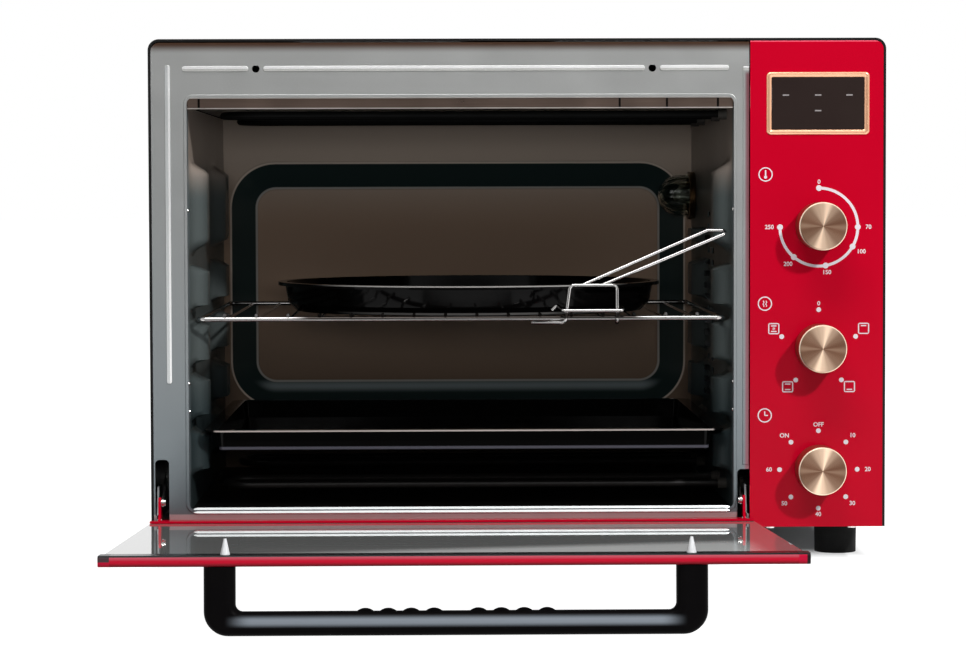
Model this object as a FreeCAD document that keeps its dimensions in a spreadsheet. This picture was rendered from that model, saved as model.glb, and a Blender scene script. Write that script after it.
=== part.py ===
"""Countertop convection oven, its door laid open, with a rack, a round pan, a tray and a wire gripper."""

import FreeCAD, Part
import Sketcher
import math
import os
import re

Vector = FreeCAD.Vector

doc = FreeCAD.newDocument("countertop_oven")
sizes = doc.addObject("Spreadsheet::Sheet", "sizes")


# Driving dimensions, in millimetres and degrees: the name of each, its value, and what it is
DRIVING_SIZES = [
    # Casing: a wrapped sheet over the top and both sides, standing on four feet
    ("casing_width", 600, "outside width of the wrapped casing"),
    ("casing_depth", 440, "front plane to back of the wrap"),
    ("casing_top", 431, "table to top of the casing"),
    ("foot_height", 32, "table to underside of the casing"),
    ("casing_sheet", 2, "thickness of the wrap with its hem"),
    ("casing_corner", 9, "outside radius of the two top corners"),
    ("overrun", 5, "how far a cut runs past the face that it opens"),
    ("seam", 0.3, "gap between neighbouring sheets"),

    # Door: closed it stands upright in front of the frame, and turns on pins at its lower end
    ("door_length", 376, "hinge end to free end of the closed door"),
    ("door_inset", 0.5, "side of the casing to the door's left end"),
    ("door_left", "=-(casing_width / 2 - door_inset)", "left end of the door"),
    ("panel_width", 110.8, "left edge of the control panel to the side of the casing"),
    ("door_overlap", 1.7, "door past the panel's left edge"),
    ("door_right", "=casing_width / 2 - panel_width + door_overlap", "right end of the door"),
    ("door_thickness", 8, "over the painted trims"),
    ("door_gap", 2.5, "closed door's inner face to the front plane"),
    ("door_opening_angle", 87.29, "closed to open, a little short of a right angle"),
    ("hinge_height", 39.5, "table to the hinge pins"),
    ("hinge_reach", 3, "hinge pins in front of the front plane"),
    ("glass_thickness", 4, "dark door glass"),
    ("glass_setback", 2, "glass face behind the inner face of the trims"),
    ("glass_start", 10, "hinge pins to the lower end of the glass"),
    ("trim_overlap", 6, "how far a trim grips the glass"),
    ("trim_clearance", 0.3, "room round the glass in its groove"),
    ("top_trim_height", 18, "free-end trim, along the door"),
    ("bottom_trim_height", 17, "hinge-end trim, along the door"),
    ("trim_rounding", 2.6, "rounded long edges of the free-end trim"),
    ("end_cap_length", 8, "black corner cap at each end of the free-end trim"),
    ("handle_lean", 1.25, "handle of the open door in front of the door's free end"),
    ("front_plane_y", "=-(casing_depth + gland_reach"
     " - hinge_reach - door_length * sin(door_opening_angle) - handle_lean) / 2",
     "the front plane stands here, so that the whole part is centred on the origin"),

    # Door handle: a moulded bow with finger bumps
    ("handle_side", 71.2, "end of the door to the side of the handle"),
    ("handle_span", "=door_right - door_left - 2 * handle_side", "over both posts"),
    ("handle_shift", 1, "middle of the door to the middle of the handle"),
    ("handle_middle", "=(door_left + door_right) / 2 + handle_shift", "middle of the handle"),
    ("handle_reach", 48.2, "door face to the far side of the bar"),
    ("handle_bar", 17, "height of the bar's section"),
    ("handle_width", 15, "section across the bar, along the door"),
    ("handle_post", 22, "width of each post"),
    ("handle_corner", 17, "outside radius where the posts turn into the bar"),
    ("handle_inner_corner", 5, "inside radius there"),
    ("handle_rounding", 6.5, "rounded long edges"),
    ("handle_drop", 1.1, "free end of the door to the handle's edge"),
    ("bump_count", 4, "finger bumps in each of the two groups"),
    ("bump_pitch", 15.8, "from bump to bump"),
    ("bump_radius", 9, "curve of a bump's crest"),
    ("bump_height", 2, "bumps above the bar"),
    ("bump_group_offset", 39, "middle of the handle to the middle of a group"),
    ("handle_screw_inset", 13, "side of the handle to its screw"),
    ("handle_screw_spacing", "=handle_span - 2 * handle_screw_inset", "between the two screws of the handle"),
    ("handle_screw_shift", 1.8, "middle of the handle to the middle between its screws"),
    ("handle_screw_middle", "=handle_middle + handle_screw_shift", "middle between those screws"),
    ("handle_screw_radius", 2.5, "screws through the door into the posts"),
    ("screw_cap_radius", 3.4, "foot of the conical cap on each screw"),
    ("screw_cap_height", 11, "height of the conical cap"),
    ("screw_cap_tip_radius", 1, "tip of the conical cap"),

    # Hinge: ears on the door, brackets in the casing, and a link that runs into the slot
    ("ear_thickness", 2, "bent steel ear"),
    ("ear_reach", 19, "hinge pins to the tip of the ear"),
    ("ear_half_width", 4.5, "half of the ear's width at the pin"),
    ("ear_tip_half_width", 3.6, "half of its width at the tip"),
    ("ear_inset", 6, "end of the door to the ear's outer face"),
    ("hinge_pin_radius", 1.6, "pin that the door turns on"),
    ("pin_clearance", 0.35, "running room round a pin"),
    ("bracket_thickness", 1.5, "fixed bracket beside the ear"),
    ("bracket_gap", 1.2, "between bracket and ear"),
    ("bracket_nose", 4, "bracket past the hinge pin"),
    ("bracket_depth", 28, "bracket behind the front plane"),
    ("bracket_height", 26, "bracket above the hinge pin"),
    ("link_thickness", 1.5, "chrome link"),
    ("link_gap", 0.7, "between ear and link"),
    ("link_length", 34.4, "between the link's two holes"),
    ("link_half_width", 3.2, "half of the link's width"),
    ("link_pin_reach", 15, "hinge pins to the link's pin, along the ear"),
    ("link_pin_offset", 1.5, "the link's pin above the middle of the ear"),
    ("link_pin_radius", 1.3, "pin of the link"),
    ("link_open_angle", 33.5, "link above level, door open"),

    # Front frame and oven cavity
    ("frame_sheet", 1, "thickness of the frame and of the cavity sheets"),
    ("panel_seam", 0.8, "gap between frame and panel"),
    ("frame_right", "=casing_width / 2 - panel_width - panel_seam", "right end of the frame"),
    ("frame_top", 428, "top end of the frame"),
    ("frame_bottom", 36.5, "lower end of the frame"),
    ("frame_corner", 7, "radius of its top left corner"),
    ("frame_left_width", 31.2, "side of the casing to the opening"),
    ("opening_left", "=-(casing_width / 2 - frame_left_width)", "left side of the opening"),
    ("frame_right_width", 12.5, "opening to the frame's right end"),
    ("opening_right", "=frame_right - frame_right_width", "right side of the opening"),
    ("opening_top", 383.5, "top of the opening"),
    ("opening_bottom", 48, "bottom of the opening"),
    ("opening_corner", 5, "radius of the opening's corners"),
    ("bead_width", 2.6, "rolled bead round the opening"),
    ("bead_height", 1.2, "bead in front of the frame"),
    ("bead_slope", 25, "slope of beads and ribs, from the straight"),
    ("rib_width", 4.6, "raised ribs of the frame"),
    ("rib_height", 0.8, "ribs in front of the frame"),
    ("rib_top", "=hinge_height + door_length - handle_drop - handle_width / 2",
     "middle of the upper rib, in line with the caps of the closed door"),
    ("rib_side_inset", 15.5, "opening to the left rib"),
    ("rib_side", "=opening_left - rib_side_inset", "middle of the left rib"),
    ("rib_side_top", 410, "upper end of the left rib"),
    ("rib_side_bottom", 151, "lower end of the left rib"),
    ("frame_hole_radius", 3.1, "holes for the tips of the caps on the door"),
    ("frame_hole_left", "=handle_screw_middle - handle_screw_spacing / 2", "left hole"),
    ("frame_hole_right", "=handle_screw_middle + handle_screw_spacing / 2", "right hole"),
    ("rib_hole_gap", 6, "end of a rib to the hole"),
    ("rib_end_reach", 3.7, "upper rib past the left side of the opening"),
    ("rib_end_left", "=opening_left - rib_end_reach", "left end of the upper rib"),
    ("rib_end_inset", 3.9, "right side of the opening to the upper rib's end"),
    ("rib_end_right", "=opening_right - rib_end_inset", "right end of the upper rib"),
    ("fold_width", 5.2, "raised fold along the frame's right end"),
    ("fold_top", 408, "upper end of the fold"),
    ("slot_width", 11.4, "hinge slots"),
    ("slot_height_left", 49.5, "left slot above the hinge pins"),
    ("slot_height_right", 40, "right slot above the hinge pins"),
    ("slot_corner", 3.5, "radius of the slots' upper corners"),
    ("slot_inset", 2.9, "end of the door to the left slot"),
    ("slot_start", 3, "side of the opening to the right slot"),
    ("back_room", 40, "back wall of the cavity to the casing's back"),
    ("cavity_depth", "=casing_depth - back_room", "front plane to the back wall"),
    ("ceiling_height", 377, "table to the ceiling"),
    ("floor_height", 45, "table to the cavity's floor"),
    ("dish_left", 3, "side of the cavity to the dished part of the back wall"),
    ("dish_top", 338, "top of the dish"),
    ("dish_bottom", 99, "bottom of the dish"),
    ("dish_corner", 46, "outer radius of the dish"),
    ("dish_depth", 15, "dish behind the back wall"),
    ("dish_slope", 61, "slope of its sides, from the straight"),
    ("tab_pitch", 68, "tabs along the back of the ceiling"),
    ("tab_count", 7, "number of those tabs"),
    ("tab_width", 9, "width of a tab"),
    ("tab_height", 4, "tab below the ceiling"),

    # Stamped runners of the side walls
    ("runner_first", 110.7, "top of the lowest runner, where the tray slides"),
    ("runner_pitch", 45.2, "from runner to runner"),
    ("runner_count", 4, "levels for racks and trays"),
    ("runner_groove", 9, "open height above each runner"),
    ("runner_reach", 14, "runner into the cavity"),
    ("runner_chamfer", 1.5, "sloped edge of a runner"),
    ("runner_slope", 42, "slope of that edge, from the straight"),
    ("runner_start", 20, "front plane to the front runners"),
    ("runner_length", 42, "length of the front runners"),
    ("runner_rear_start", 230, "front plane to the rear runners"),
    ("runner_rear_length", 60, "length of the rear runners"),
    ("runner_corner", 9, "rounded ends of a runner"),
    ("runner_tall_height", 78, "the tall stamping above the last level"),
    ("fan_slot_length", 22, "slots of the right wall, before the fan"),
    ("fan_slot_height", 5, "height of a slot"),
    ("fan_slot_pitch", 10.5, "from slot to slot"),
    ("fan_slot_rows", 16, "slots in each column"),
    ("fan_slot_first", 126, "lowest slot"),
    ("fan_middle_y", 200, "front plane to the middle of the fan"),
    ("fan_column_gap", 14, "between the two columns of slots"),

    # Heating elements, lamp and fan
    ("element_radius", 3, "steel tube of a heating element"),
    ("element_bend", 26, "bend at the far end of an element"),
    ("element_side_gap", 23.8, "left wall to the elements' far end"),
    ("element_left", "=opening_left + element_side_gap", "far end of the elements"),
    ("element_leg_pitch", 60, "between the two legs of an element"),
    ("element_front", 62, "front plane to the first leg of the front elements"),
    ("element_back_gap", 138, "back wall to the first leg of the rear elements"),
    ("element_rear", "=cavity_depth - element_back_gap", "front plane to the first leg of the rear elements"),
    ("element_low", 62, "lower elements"),
    ("element_high", 371, "upper elements"),
    ("bushing_radius", 4.6, "ceramic bushing of an element's end"),
    ("bushing_length", 7, "bushing into the cavity"),
    ("bushing_tail", 14, "bushing behind the wall"),
    ("terminal_length", 12, "end past the bushing"),
    ("shield_height", 9, "strip under the top of the opening"),
    ("shield_depth", 14, "strip to the back"),
    ("shield_cover", 2.5, "strip behind the frame above the opening"),
    ("shield_margin", 0.5, "strip's ends to the sides of the opening"),
    ("lamp_back_gap", 32, "back wall to the lamp"),
    ("lamp_y", "=cavity_depth - lamp_back_gap", "front plane to the lamp"),
    ("lamp_drop", 74, "ceiling to the lamp"),
    ("lamp_height", "=ceiling_height - lamp_drop", "table to the lamp"),
    ("lamp_radius", 19, "glass dome"),
    ("lamp_length", 34, "dome into the cavity"),
    ("lamp_glass_wall", 1.8, "thickness of the dome"),
    ("lamp_ring_radius", 22.5, "ring that holds the dome"),
    ("lamp_ring_length", 6, "ring into the cavity"),
    ("lamp_socket_radius", 15, "socket behind the wall"),
    ("lamp_socket_length", 26, "length of the socket"),
    ("bulb_radius", 8, "bulb"),
    ("bulb_length", 20, "bulb into the dome"),
    ("fan_radius", 68, "tips of the fan's blades"),
    ("fan_height", 194, "table to the middle of the fan"),
    ("fan_housing_radius", 80, "round housing behind the right wall"),
    ("fan_housing_depth", 34, "depth of the housing"),
    ("fan_blade_count", 10, "blades"),
    ("fan_blade_depth", 15, "blade along the axis"),
    ("fan_hub_radius", 10, "hub"),
    ("fan_disc_sheet", 1.2, "disc and blades"),
    ("fan_shaft_radius", 2.5, "motor shaft"),
    ("fan_motor_size", 46, "motor block"),
    ("fan_motor_length", 28, "depth of the motor block"),

    # Control panel
    ("panel_left", "=casing_width / 2 - panel_width", "left edge of the painted panel"),
    ("panel_front", 1, "panel in front of the front plane"),
    ("panel_thickness", 3, "thickness of the panel"),
    ("display_inset", 13.2, "panel's left edge to the bezel"),
    ("display_left", "=panel_left + display_inset", "left side of the display's bezel"),
    ("display_width", 83.9, "over the bezel"),
    ("display_bottom", 352.3, "lower side of the bezel"),
    ("display_height", 50.9, "over the bezel"),
    ("bezel_width", 4.2, "width of the bezel"),
    ("bezel_height", 1.2, "bezel in front of the panel"),
    ("bezel_corner", 3, "radius of the bezel's corners"),
    ("window_recess", 0.5, "window behind the front of the bezel"),
    ("window_thickness", 2.5, "dark window"),
    ("board_gap", 6, "window to the board behind it"),
    ("board_thickness", 1.6, "board"),
    ("knob_inset", 54.7, "side of the casing to the knobs"),
    ("knob_x", "=casing_width / 2 - knob_inset", "middle of the three knobs"),
    ("temperature_knob_height", 278.1, "table to the temperature knob"),
    ("knob_pitch", 99.1, "from knob to knob"),
    ("knob_radius", 19.4, "spun metal knob"),
    ("knob_length", 27, "knob in front of its gap"),
    ("knob_gap", 1.5, "panel to the knob"),
    ("knob_wall", 2, "wall of the knob"),
    ("knob_bevel", 1.1, "bevel of the spun face"),
    ("knob_boss_radius", 6, "boss inside the knob"),
    ("shaft_radius", 3, "shaft of a control"),
    ("shaft_flat", 0.8, "depth of the flat on the shaft"),
    ("shaft_clearance", 0.3, "running room in the bushing"),
    ("shaft_tail", 10, "shaft inside the control"),
    ("control_size", 38, "width and height of a control"),
    ("control_depth", 24, "depth of a control"),
    ("control_bushing_radius", 5, "bushing in the panel"),
    ("bushing_room", 0.4, "room round the bushing in the panel"),

    # Rack, pan, gripper and tray
    ("rack_side_gap", 8.35, "side wall to the middle of the side wires"),
    ("rack_half_width", "=(opening_right - opening_left) / 2 - rack_side_gap",
     "middle of the cavity to the side wires"),
    ("rack_front", 4, "front plane to the front wire"),
    ("rack_back_gap", 59, "how much shorter the rack is than the cavity"),
    ("rack_depth", "=cavity_depth - rack_back_gap", "front wire to back wire"),
    ("rack_wire_radius", 2, "frame wire"),
    ("rack_corner", 5, "bend of the frame wire"),
    ("cross_wire_radius", 1.4, "wires across the frame"),
    ("cross_wire_count", 16, "number of those wires"),
    ("cross_wire_pitch", 25.7, "from wire to wire"),
    ("cross_wire_dip", 4, "how far those wires step down behind the front wire"),
    ("cross_wire_step", 10, "front wire to that step"),
    ("cross_wire_bend", 4, "bends of the step"),
    ("seat_gap", 0.3, "rest of a sliding or loose piece above its seat"),
    ("pan_room", 79, "how much smaller the pan is than the cavity's depth"),
    ("pan_radius", "=(cavity_depth - pan_room) / 2", "side of the pan at its top"),
    ("pan_draft", 2.5, "how far the side leans out"),
    ("pan_bottom_radius", "=pan_radius - pan_draft", "side of the pan at its bottom"),
    ("pan_rim_width", 6, "rolled rim past the side"),
    ("pan_rim_radius", "=pan_radius + pan_rim_width", "over the rolled rim"),
    ("pan_shift", 7.95, "middle of the cavity to the pan"),
    ("pan_x", "=(opening_left + opening_right) / 2 + pan_shift", "middle of the round pan"),
    ("pan_front_gap", 19.5, "front plane to the side of the pan"),
    ("pan_y", "=pan_radius + pan_front_gap", "front plane to the middle of the pan"),
    ("pan_height", 25, "height of the pan"),
    ("pan_wall", 1.2, "sheet of the pan"),
    ("pan_fillet", 7, "bend at the bottom of the pan"),
    ("tray_side_gap", 8.75, "side wall to the tray's rim"),
    ("tray_half_width", "=(opening_right - opening_left) / 2 - tray_side_gap",
     "middle of the cavity to the tray's rim"),
    ("tray_shift", 2.25, "middle of the cavity to the tray"),
    ("tray_x", "=(opening_left + opening_right) / 2 + tray_shift", "middle of the tray"),
    ("tray_front", 4, "front plane to the tray's rim"),
    ("tray_back_gap", 43, "how much shorter the tray is than the cavity"),
    ("tray_depth", "=cavity_depth - tray_back_gap", "over the rim"),
    ("tray_rim", 10, "width of the rim"),
    ("tray_height", 17, "depth of the tray"),
    ("tray_sheet", 1.2, "sheet of the tray"),
    ("tray_corner", 16, "outside radius of the rim"),
    ("tray_taper", 8, "slope of the tray's sides"),
    ("grip_wire_radius", 1.4, "wire of the gripper"),
    ("grip_left", 38.4, "left foot of the gripper"),
    ("grip_right", 80.8, "its right foot"),
    ("grip_lean", 4, "top of the left leg to the right of its foot"),
    ("grip_height", 30.6, "from the feet to the top bar"),
    ("grip_foot", 8, "feet to the back, under the rack's front wire"),
    ("grip_foot_side", 27, "end of the left foot to the side"),
    ("grip_bend", 4, "bends of the gripper"),
    ("grip_bar_left", 36.8, "left end of the cross bar"),
    ("grip_bar_right", 86.7, "its right end"),
    ("grip_bar_rise", 10, "from the feet to the cross bar"),
    ("grip_claw", 4.5, "claws at the ends of the cross bar"),
    ("grip_tight_bend", 2.4, "bends of the claws and of the handle's tip"),
    ("grip_handle_left", 52.3, "root of the handle's left wire"),
    ("grip_spread", 16.3, "between the roots of the handle's two wires"),
    ("grip_tip_x", 169, "far end of the handle"),
    ("grip_tip_height", 274.6, "table to the far end of the handle"),
    ("grip_tip_length", 14, "level end of the handle"),
    ("grip_tip_depth", 5.5, "depth of the loop at the handle's end"),

    # Mechanisms, feet and fixings
    ("foot_radius", 18, "rubber foot"),
    ("foot_bottom_radius", 17.5, "foot where it meets the table"),
    ("foot_inset_side", 27.5, "side of the casing to the middle of a foot"),
    ("foot_inset_front", 97, "front plane to the middle of the front feet"),
    ("foot_inset_back", 60, "back of the casing to the middle of the back feet"),
    ("foot_recess_radius", 9, "recess for the foot's screw"),
    ("foot_recess_depth", 12, "depth of that recess"),
    ("screw_head_radius", 3.6, "head of a screw"),
    ("screw_head_height", 1.6, "height of a screw's head"),
    ("vent_width", 5, "ventilation slots of the back and the base"),
    ("vent_length", 44, "length of a slot"),
    ("vent_pitch", 13, "from slot to slot"),
    ("vent_count", 12, "slots in a row"),
    ("side_vent_length", 34, "slots of the casing's right side"),
    ("side_vent_count", 14, "slots there"),
    ("gland_radius", 8, "cord gland"),
    ("gland_reach", 12, "gland behind the casing"),
    ("gland_bore_radius", 3.6, "bore for the supply cord"),
    ("gland_inset", 45, "side of the casing to the gland"),
    ("gland_x", "=casing_width / 2 - gland_inset", "gland from the middle"),
    ("gland_height", 70, "table to the gland"),
    ("gland_flange", 3, "flange of the gland"),
    ("terminal_block_width", 44, "supply terminals"),
    ("terminal_block_depth", 20, "depth of the block"),
    ("terminal_block_height", 18, "height of the block"),
]

for number, (name, amount, note) in enumerate(DRIVING_SIZES, start=1):
    sizes.set(f"A{number}", note)
    sizes.set(f"B{number}", str(amount))
    sizes.setAlias(f"B{number}", name)
size_names = {name for name, amount, note in DRIVING_SIZES}
doc.recompute()


# Helpers that bind shapes to the sheet

def in_sheet(text):
    """The same formula with each size's name pointing into the sheet."""
    def point(match):
        word = match.group()
        return "sizes." + word if word in size_names else word
    return re.sub(r"[a-z_][a-z0-9_]*", point, str(text))


def bind(item, attribute, text):
    item.setExpression(attribute, in_sheet(text))


def value(text):
    """What a formula of size names gives now."""
    return float(sizes.evalExpression(str(text)))


def body(name, placement=None):
    made = doc.addObject("PartDesign::Body", name)
    if placement:
        bind(made, "Placement", placement)
    return made


def plane_of(owner, role):
    return next(f for f in owner.Origin.OriginFeatures if f.Role == role)


def sketch(owner, name, plane, offset="0"):
    """An empty sketch on one of its body's planes, moved along that plane's normal."""
    made = owner.newObject("Sketcher::SketchObject", name)
    made.AttachmentSupport = [(plane_of(owner, plane), "")]
    made.MapMode = "FlatFace"
    bind(made, "AttachmentOffset.Base.z", offset)
    return made


def fix_point(target, geometry, which, across, up):
    """Ties one point of a sketch to two formulas."""
    for kind, text in (("DistanceX", across), ("DistanceY", up)):
        amount = value(text)
        number = target.addConstraint(Sketcher.Constraint(kind, -1, 1, geometry, which, amount))
        bind(target, f"Constraints[{number}]", text)


def outline(target, corners):
    """A closed outline; a corner is (across, up) or (across, up, radius) between square sides."""
    spots = [Vector(value(c[0]), value(c[1]), 0) for c in corners]
    count = len(corners)
    ends = []
    for i, corner in enumerate(corners):
        back = spots[i - 1] - spots[i]
        ahead = spots[(i + 1) % count] - spots[i]
        if len(corner) == 2:
            ends.append((corner, corner, None))
            continue
        ends.append((shifted(corner, back), shifted(corner, ahead), corner[2]))
    lines = []
    for i in range(count):
        start = ends[i][1]
        stop = ends[(i + 1) % count][0]
        first = Vector(value(start[0]), value(start[1]), 0)
        last = Vector(value(stop[0]), value(stop[1]), 0)
        line = target.addGeometry(Part.LineSegment(first, last))
        fix_point(target, line, 1, start[0], start[1])
        lines.append(line)
    for i in range(count):
        before = lines[i - 1]
        after = lines[i]
        if ends[i][2] is None:
            target.addConstraint(Sketcher.Constraint("Coincident", before, 2, after, 1))
            continue
        stop = ends[i][0]
        fix_point(target, before, 2, stop[0], stop[1])
        begin = target.getPoint(before, 2)
        finish = target.getPoint(after, 1)
        radius = value(ends[i][2])
        inward = (spots[i - 1] - spots[i]).normalize() + (spots[(i + 1) % count] - spots[i]).normalize()
        middle = spots[i] + inward * (radius * (1 - math.sqrt(0.5)))
        arc = target.addGeometry(Part.Arc(begin, middle, finish))
        turned = target.getPoint(arc, 1).distanceToPoint(begin) > radius / 2
        first, last = (2, 1) if turned else (1, 2)
        target.addConstraint(Sketcher.Constraint("Tangent", before, 2, arc, first))
        target.addConstraint(Sketcher.Constraint("Coincident", arc, last, after, 1))


def shifted(corner, side):
    """The formulas of the point where a corner's arc meets the side that points this way."""
    across, up, radius = corner
    if abs(side.x) > abs(side.y):
        return (f"{across} {'+' if side.x > 0 else '-'} ({radius})", up)
    return (across, f"{up} {'+' if side.y > 0 else '-'} ({radius})")


def rectangle(target, left, right, low, high, radius=None):
    corners = [(left, low), (right, low), (right, high), (left, high)]
    if radius:
        corners = [(across, up, radius) for across, up in corners]
    outline(target, corners)


def circle(target, across, up, radius):
    """A circle with its centre and radius tied to formulas."""
    centre = Vector(value(across), value(up), 0)
    made = target.addGeometry(Part.Circle(centre, Vector(0, 0, 1), value(radius)))
    fix_point(target, made, 3, across, up)
    number = target.addConstraint(Sketcher.Constraint("Radius", made, value(radius)))
    bind(target, f"Constraints[{number}]", radius)


def refresh(feature):
    """Works the feature out, and stops if it failed."""
    doc.recompute()
    profile = getattr(feature, "Profile", None)
    for item in [feature] + ([profile[0]] if profile else []):
        if not item.isValid():
            raise ValueError(f"{item.Label} failed: {item.getStatusString()}")


def pad(owner, name, profile, length, backwards=False, taper=None):
    made = owner.newObject("PartDesign::Pad", name)
    made.Profile = profile
    made.Reversed = backwards
    bind(made, "Length", length)
    if taper:
        bind(made, "TaperAngle", taper)
    refresh(made)
    return made


def pocket(owner, name, profile, depth, backwards=False, taper=None):
    """Cuts the profile out, and checks that something went."""
    before = owner.Shape.Volume
    made = owner.newObject("PartDesign::Pocket", name)
    made.Profile = profile
    made.Reversed = backwards
    bind(made, "Length", depth)
    if taper:
        bind(made, "TaperAngle", taper)
    refresh(made)
    if not owner.Shape.Volume < before:
        raise ValueError(f"{name} cuts nothing")
    return made


def revolve(owner, name, profile, axis):
    made = owner.newObject("PartDesign::Revolution", name)
    made.Profile = profile
    made.ReferenceAxis = (plane_of(owner, axis), [""])
    made.Angle = 360
    refresh(made)
    return made


def row(owner, name, originals, axis, length, count):
    """Repeats features in a straight row."""
    made = owner.newObject("PartDesign::LinearPattern", name)
    made.Originals = originals
    made.Direction = (plane_of(owner, axis), [""])
    bind(made, "Length", length)
    bind(made, "Occurrences", count)
    owner.Tip = made
    refresh(made)
    return made


def fillet(owner, name, base, wanted, radius):
    """Rounds the edges of the last feature that the test accepts."""
    made = owner.newObject("PartDesign::Fillet", name)
    edges = [f"Edge{i + 1}" for i, edge in enumerate(base.Shape.Edges) if wanted(edge)]
    made.Base = (base, edges)
    bind(made, "Radius", radius)
    refresh(made)
    return made


def cylinder(name, radius, height, placement):
    made = doc.addObject("Part::Cylinder", name)
    bind(made, "Radius", radius)
    bind(made, "Height", height)
    bind(made, "Placement", placement)
    return made


def cone(name, radius_low, radius_high, height, placement):
    made = doc.addObject("Part::Cone", name)
    bind(made, "Radius1", radius_low)
    bind(made, "Radius2", radius_high)
    bind(made, "Height", height)
    bind(made, "Placement", placement)
    return made


def box(name, low, length, width, height):
    """A block from its lowest corner."""
    made = doc.addObject("Part::Box", name)
    bind(made, "Length", length)
    bind(made, "Width", width)
    bind(made, "Height", height)
    bind(made, "Placement", f"placement(vector({low[0]}; {low[1]}; {low[2]}); {LEVEL})")
    return made


def cut(name, base, tool):
    made = doc.addObject("Part::Cut", name)
    made.Base = base
    made.Tool = tool
    return made


def fuse(name, shapes):
    made = doc.addObject("Part::MultiFuse", name)
    made.Shapes = shapes
    return made


def group(name, shapes):
    """Like pieces that share a node, each still a solid of its own."""
    made = doc.addObject("Part::Compound", name)
    made.Links = shapes
    return made


def shape_piece(name, shape, placement=None):
    """A piece whose form comes from code; its place is set after its shape."""
    made = doc.addObject("Part::Feature", name)
    made.Shape = shape
    if placement:
        bind(made, "Placement", placement)
    return made


LEVEL = "rotation(vector(0; 0; 1); 0)"
FACING_BACK = "rotation(vector(1; 0; 0); -90)"
FACING_FRONT = "rotation(vector(1; 0; 0); 90)"
FACING_RIGHT = "rotation(vector(0; 1; 0); 90)"
FACING_LEFT = "rotation(vector(0; 1; 0); -90)"
FACING_DOWN = "rotation(vector(1; 0; 0); 180)"


def at(across, back, up, turn=LEVEL):
    """A place measured from the front plane."""
    return f"placement(vector({across}; {back}; {up}); {turn})"


FRONT = at("0", "front_plane_y", "0")
AT_HINGE = at("0", "front_plane_y - hinge_reach", "hinge_height",
              "rotation(vector(1; 0; 0); door_opening_angle)")

pieces = []


def keep(piece, place=None):
    """Hands a piece in, at its place."""
    if place:
        bind(piece, "Placement", place)
    pieces.append(piece)
    return piece


def rounded_path(points, radius):
    """Straight runs through the points, joined by tangent arcs of one radius."""
    edges = []
    start = points[0]
    for before, corner, after in zip(points, points[1:], points[2:]):
        into = (corner - before).normalize()
        out = (after - corner).normalize()
        turn = into.getAngle(out)
        setback = radius * math.tan(turn / 2)
        first = corner - into * setback
        last = corner + out * setback
        bisector = (out - into).normalize()
        middle = corner + bisector * (radius / math.cos(turn / 2) - radius)
        edges.append(Part.LineSegment(start, first).toShape())
        edges.append(Part.Arc(first, middle, last).toShape())
        start = last
    edges.append(Part.LineSegment(start, points[-1]).toShape())
    return Part.Wire(edges)


def wire_along(path, radius):
    """A round wire swept along a path."""
    first = path.OrderedEdges[0]
    start = first.valueAt(first.FirstParameter)
    heading = first.tangentAt(first.FirstParameter)
    section = Part.Wire([Part.makeCircle(radius, start, heading)])
    return path.makePipeShell([section], True, False)


# Casing

def make_outer_casing():
    """One sheet bent over the top and down both sides, open at the front, back and bottom."""
    casing = body("outer_casing", FRONT)
    profile = sketch(casing, "casing_outline", "XZ_Plane")
    side = "casing_width / 2"
    outline(profile, [
        (f"-{side}", "foot_height"),
        (side, "foot_height"),
        (side, "casing_top", "casing_corner"),
        (f"-{side}", "casing_top", "casing_corner"),
    ])
    pad(casing, "casing_block", profile, "casing_depth", backwards=True)
    inside = sketch(casing, "casing_inside", "XZ_Plane", "overrun")
    inner = "casing_width / 2 - casing_sheet"
    roof = "casing_top - casing_sheet"
    bend = "casing_corner - casing_sheet"
    outline(inside, [
        (f"-({inner})", "foot_height - overrun"),
        (inner, "foot_height - overrun"),
        (inner, roof, bend),
        (f"-({inner})", roof, bend),
    ])
    pocket(casing, "casing_hollow", inside, "casing_depth + 2 * overrun")
    vent = sketch(casing, "side_vent", "YZ_Plane", "casing_width / 2 - casing_sheet - overrun")
    first = "casing_depth - vent_pitch * side_vent_count - 2 * vent_pitch"
    low = "foot_height + 4 * vent_pitch"
    rectangle(vent, first, f"{first} + vent_width", low, f"{low} + side_vent_length")
    opened = pocket(casing, "side_vent_slot", vent, "casing_sheet + 2 * overrun", backwards=True)
    row(casing, "side_vents", [opened], "Y_Axis", "vent_pitch * (side_vent_count - 1)", "side_vent_count")
    return keep(casing)


def make_rear_panel():
    """Closes the back, with a row of upright ventilation slots on each side."""
    panel = body("rear_panel", FRONT)
    profile = sketch(panel, "rear_outline", "XZ_Plane", "-(casing_depth - casing_sheet - frame_sheet)")
    side = "casing_width / 2 - casing_sheet - seam"
    roof = "casing_top - casing_sheet - seam"
    bend = "casing_corner - casing_sheet"
    outline(profile, [
        (f"-({side})", "foot_height + casing_sheet + seam"),
        (side, "foot_height + casing_sheet + seam"),
        (side, roof, bend),
        (f"-({side})", roof, bend),
    ])
    pad(panel, "rear_sheet", profile, "frame_sheet", backwards=True)
    vent = sketch(panel, "rear_vent", "XZ_Plane", "-(casing_depth - overrun - casing_sheet)")
    low = "casing_top - 3 * vent_length / 2"
    for first in ("-vent_pitch * (vent_count + 3)", "vent_pitch * 4"):
        rectangle(vent, first, f"{first} + vent_width", low, f"{low} + vent_length", "vent_width / 2 - seam")
    opened = pocket(panel, "rear_vent_slot", vent, "2 * overrun")
    row(panel, "rear_vents", [opened], "X_Axis", "vent_pitch * (vent_count - 1)", "vent_count")
    gland = sketch(panel, "gland_hole", "XZ_Plane", "-(casing_depth - overrun - casing_sheet)")
    circle(gland, "gland_x", "gland_height", "gland_radius - gland_flange + seam")
    pocket(panel, "gland_opening", gland, "2 * overrun")
    return keep(panel)


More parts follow.
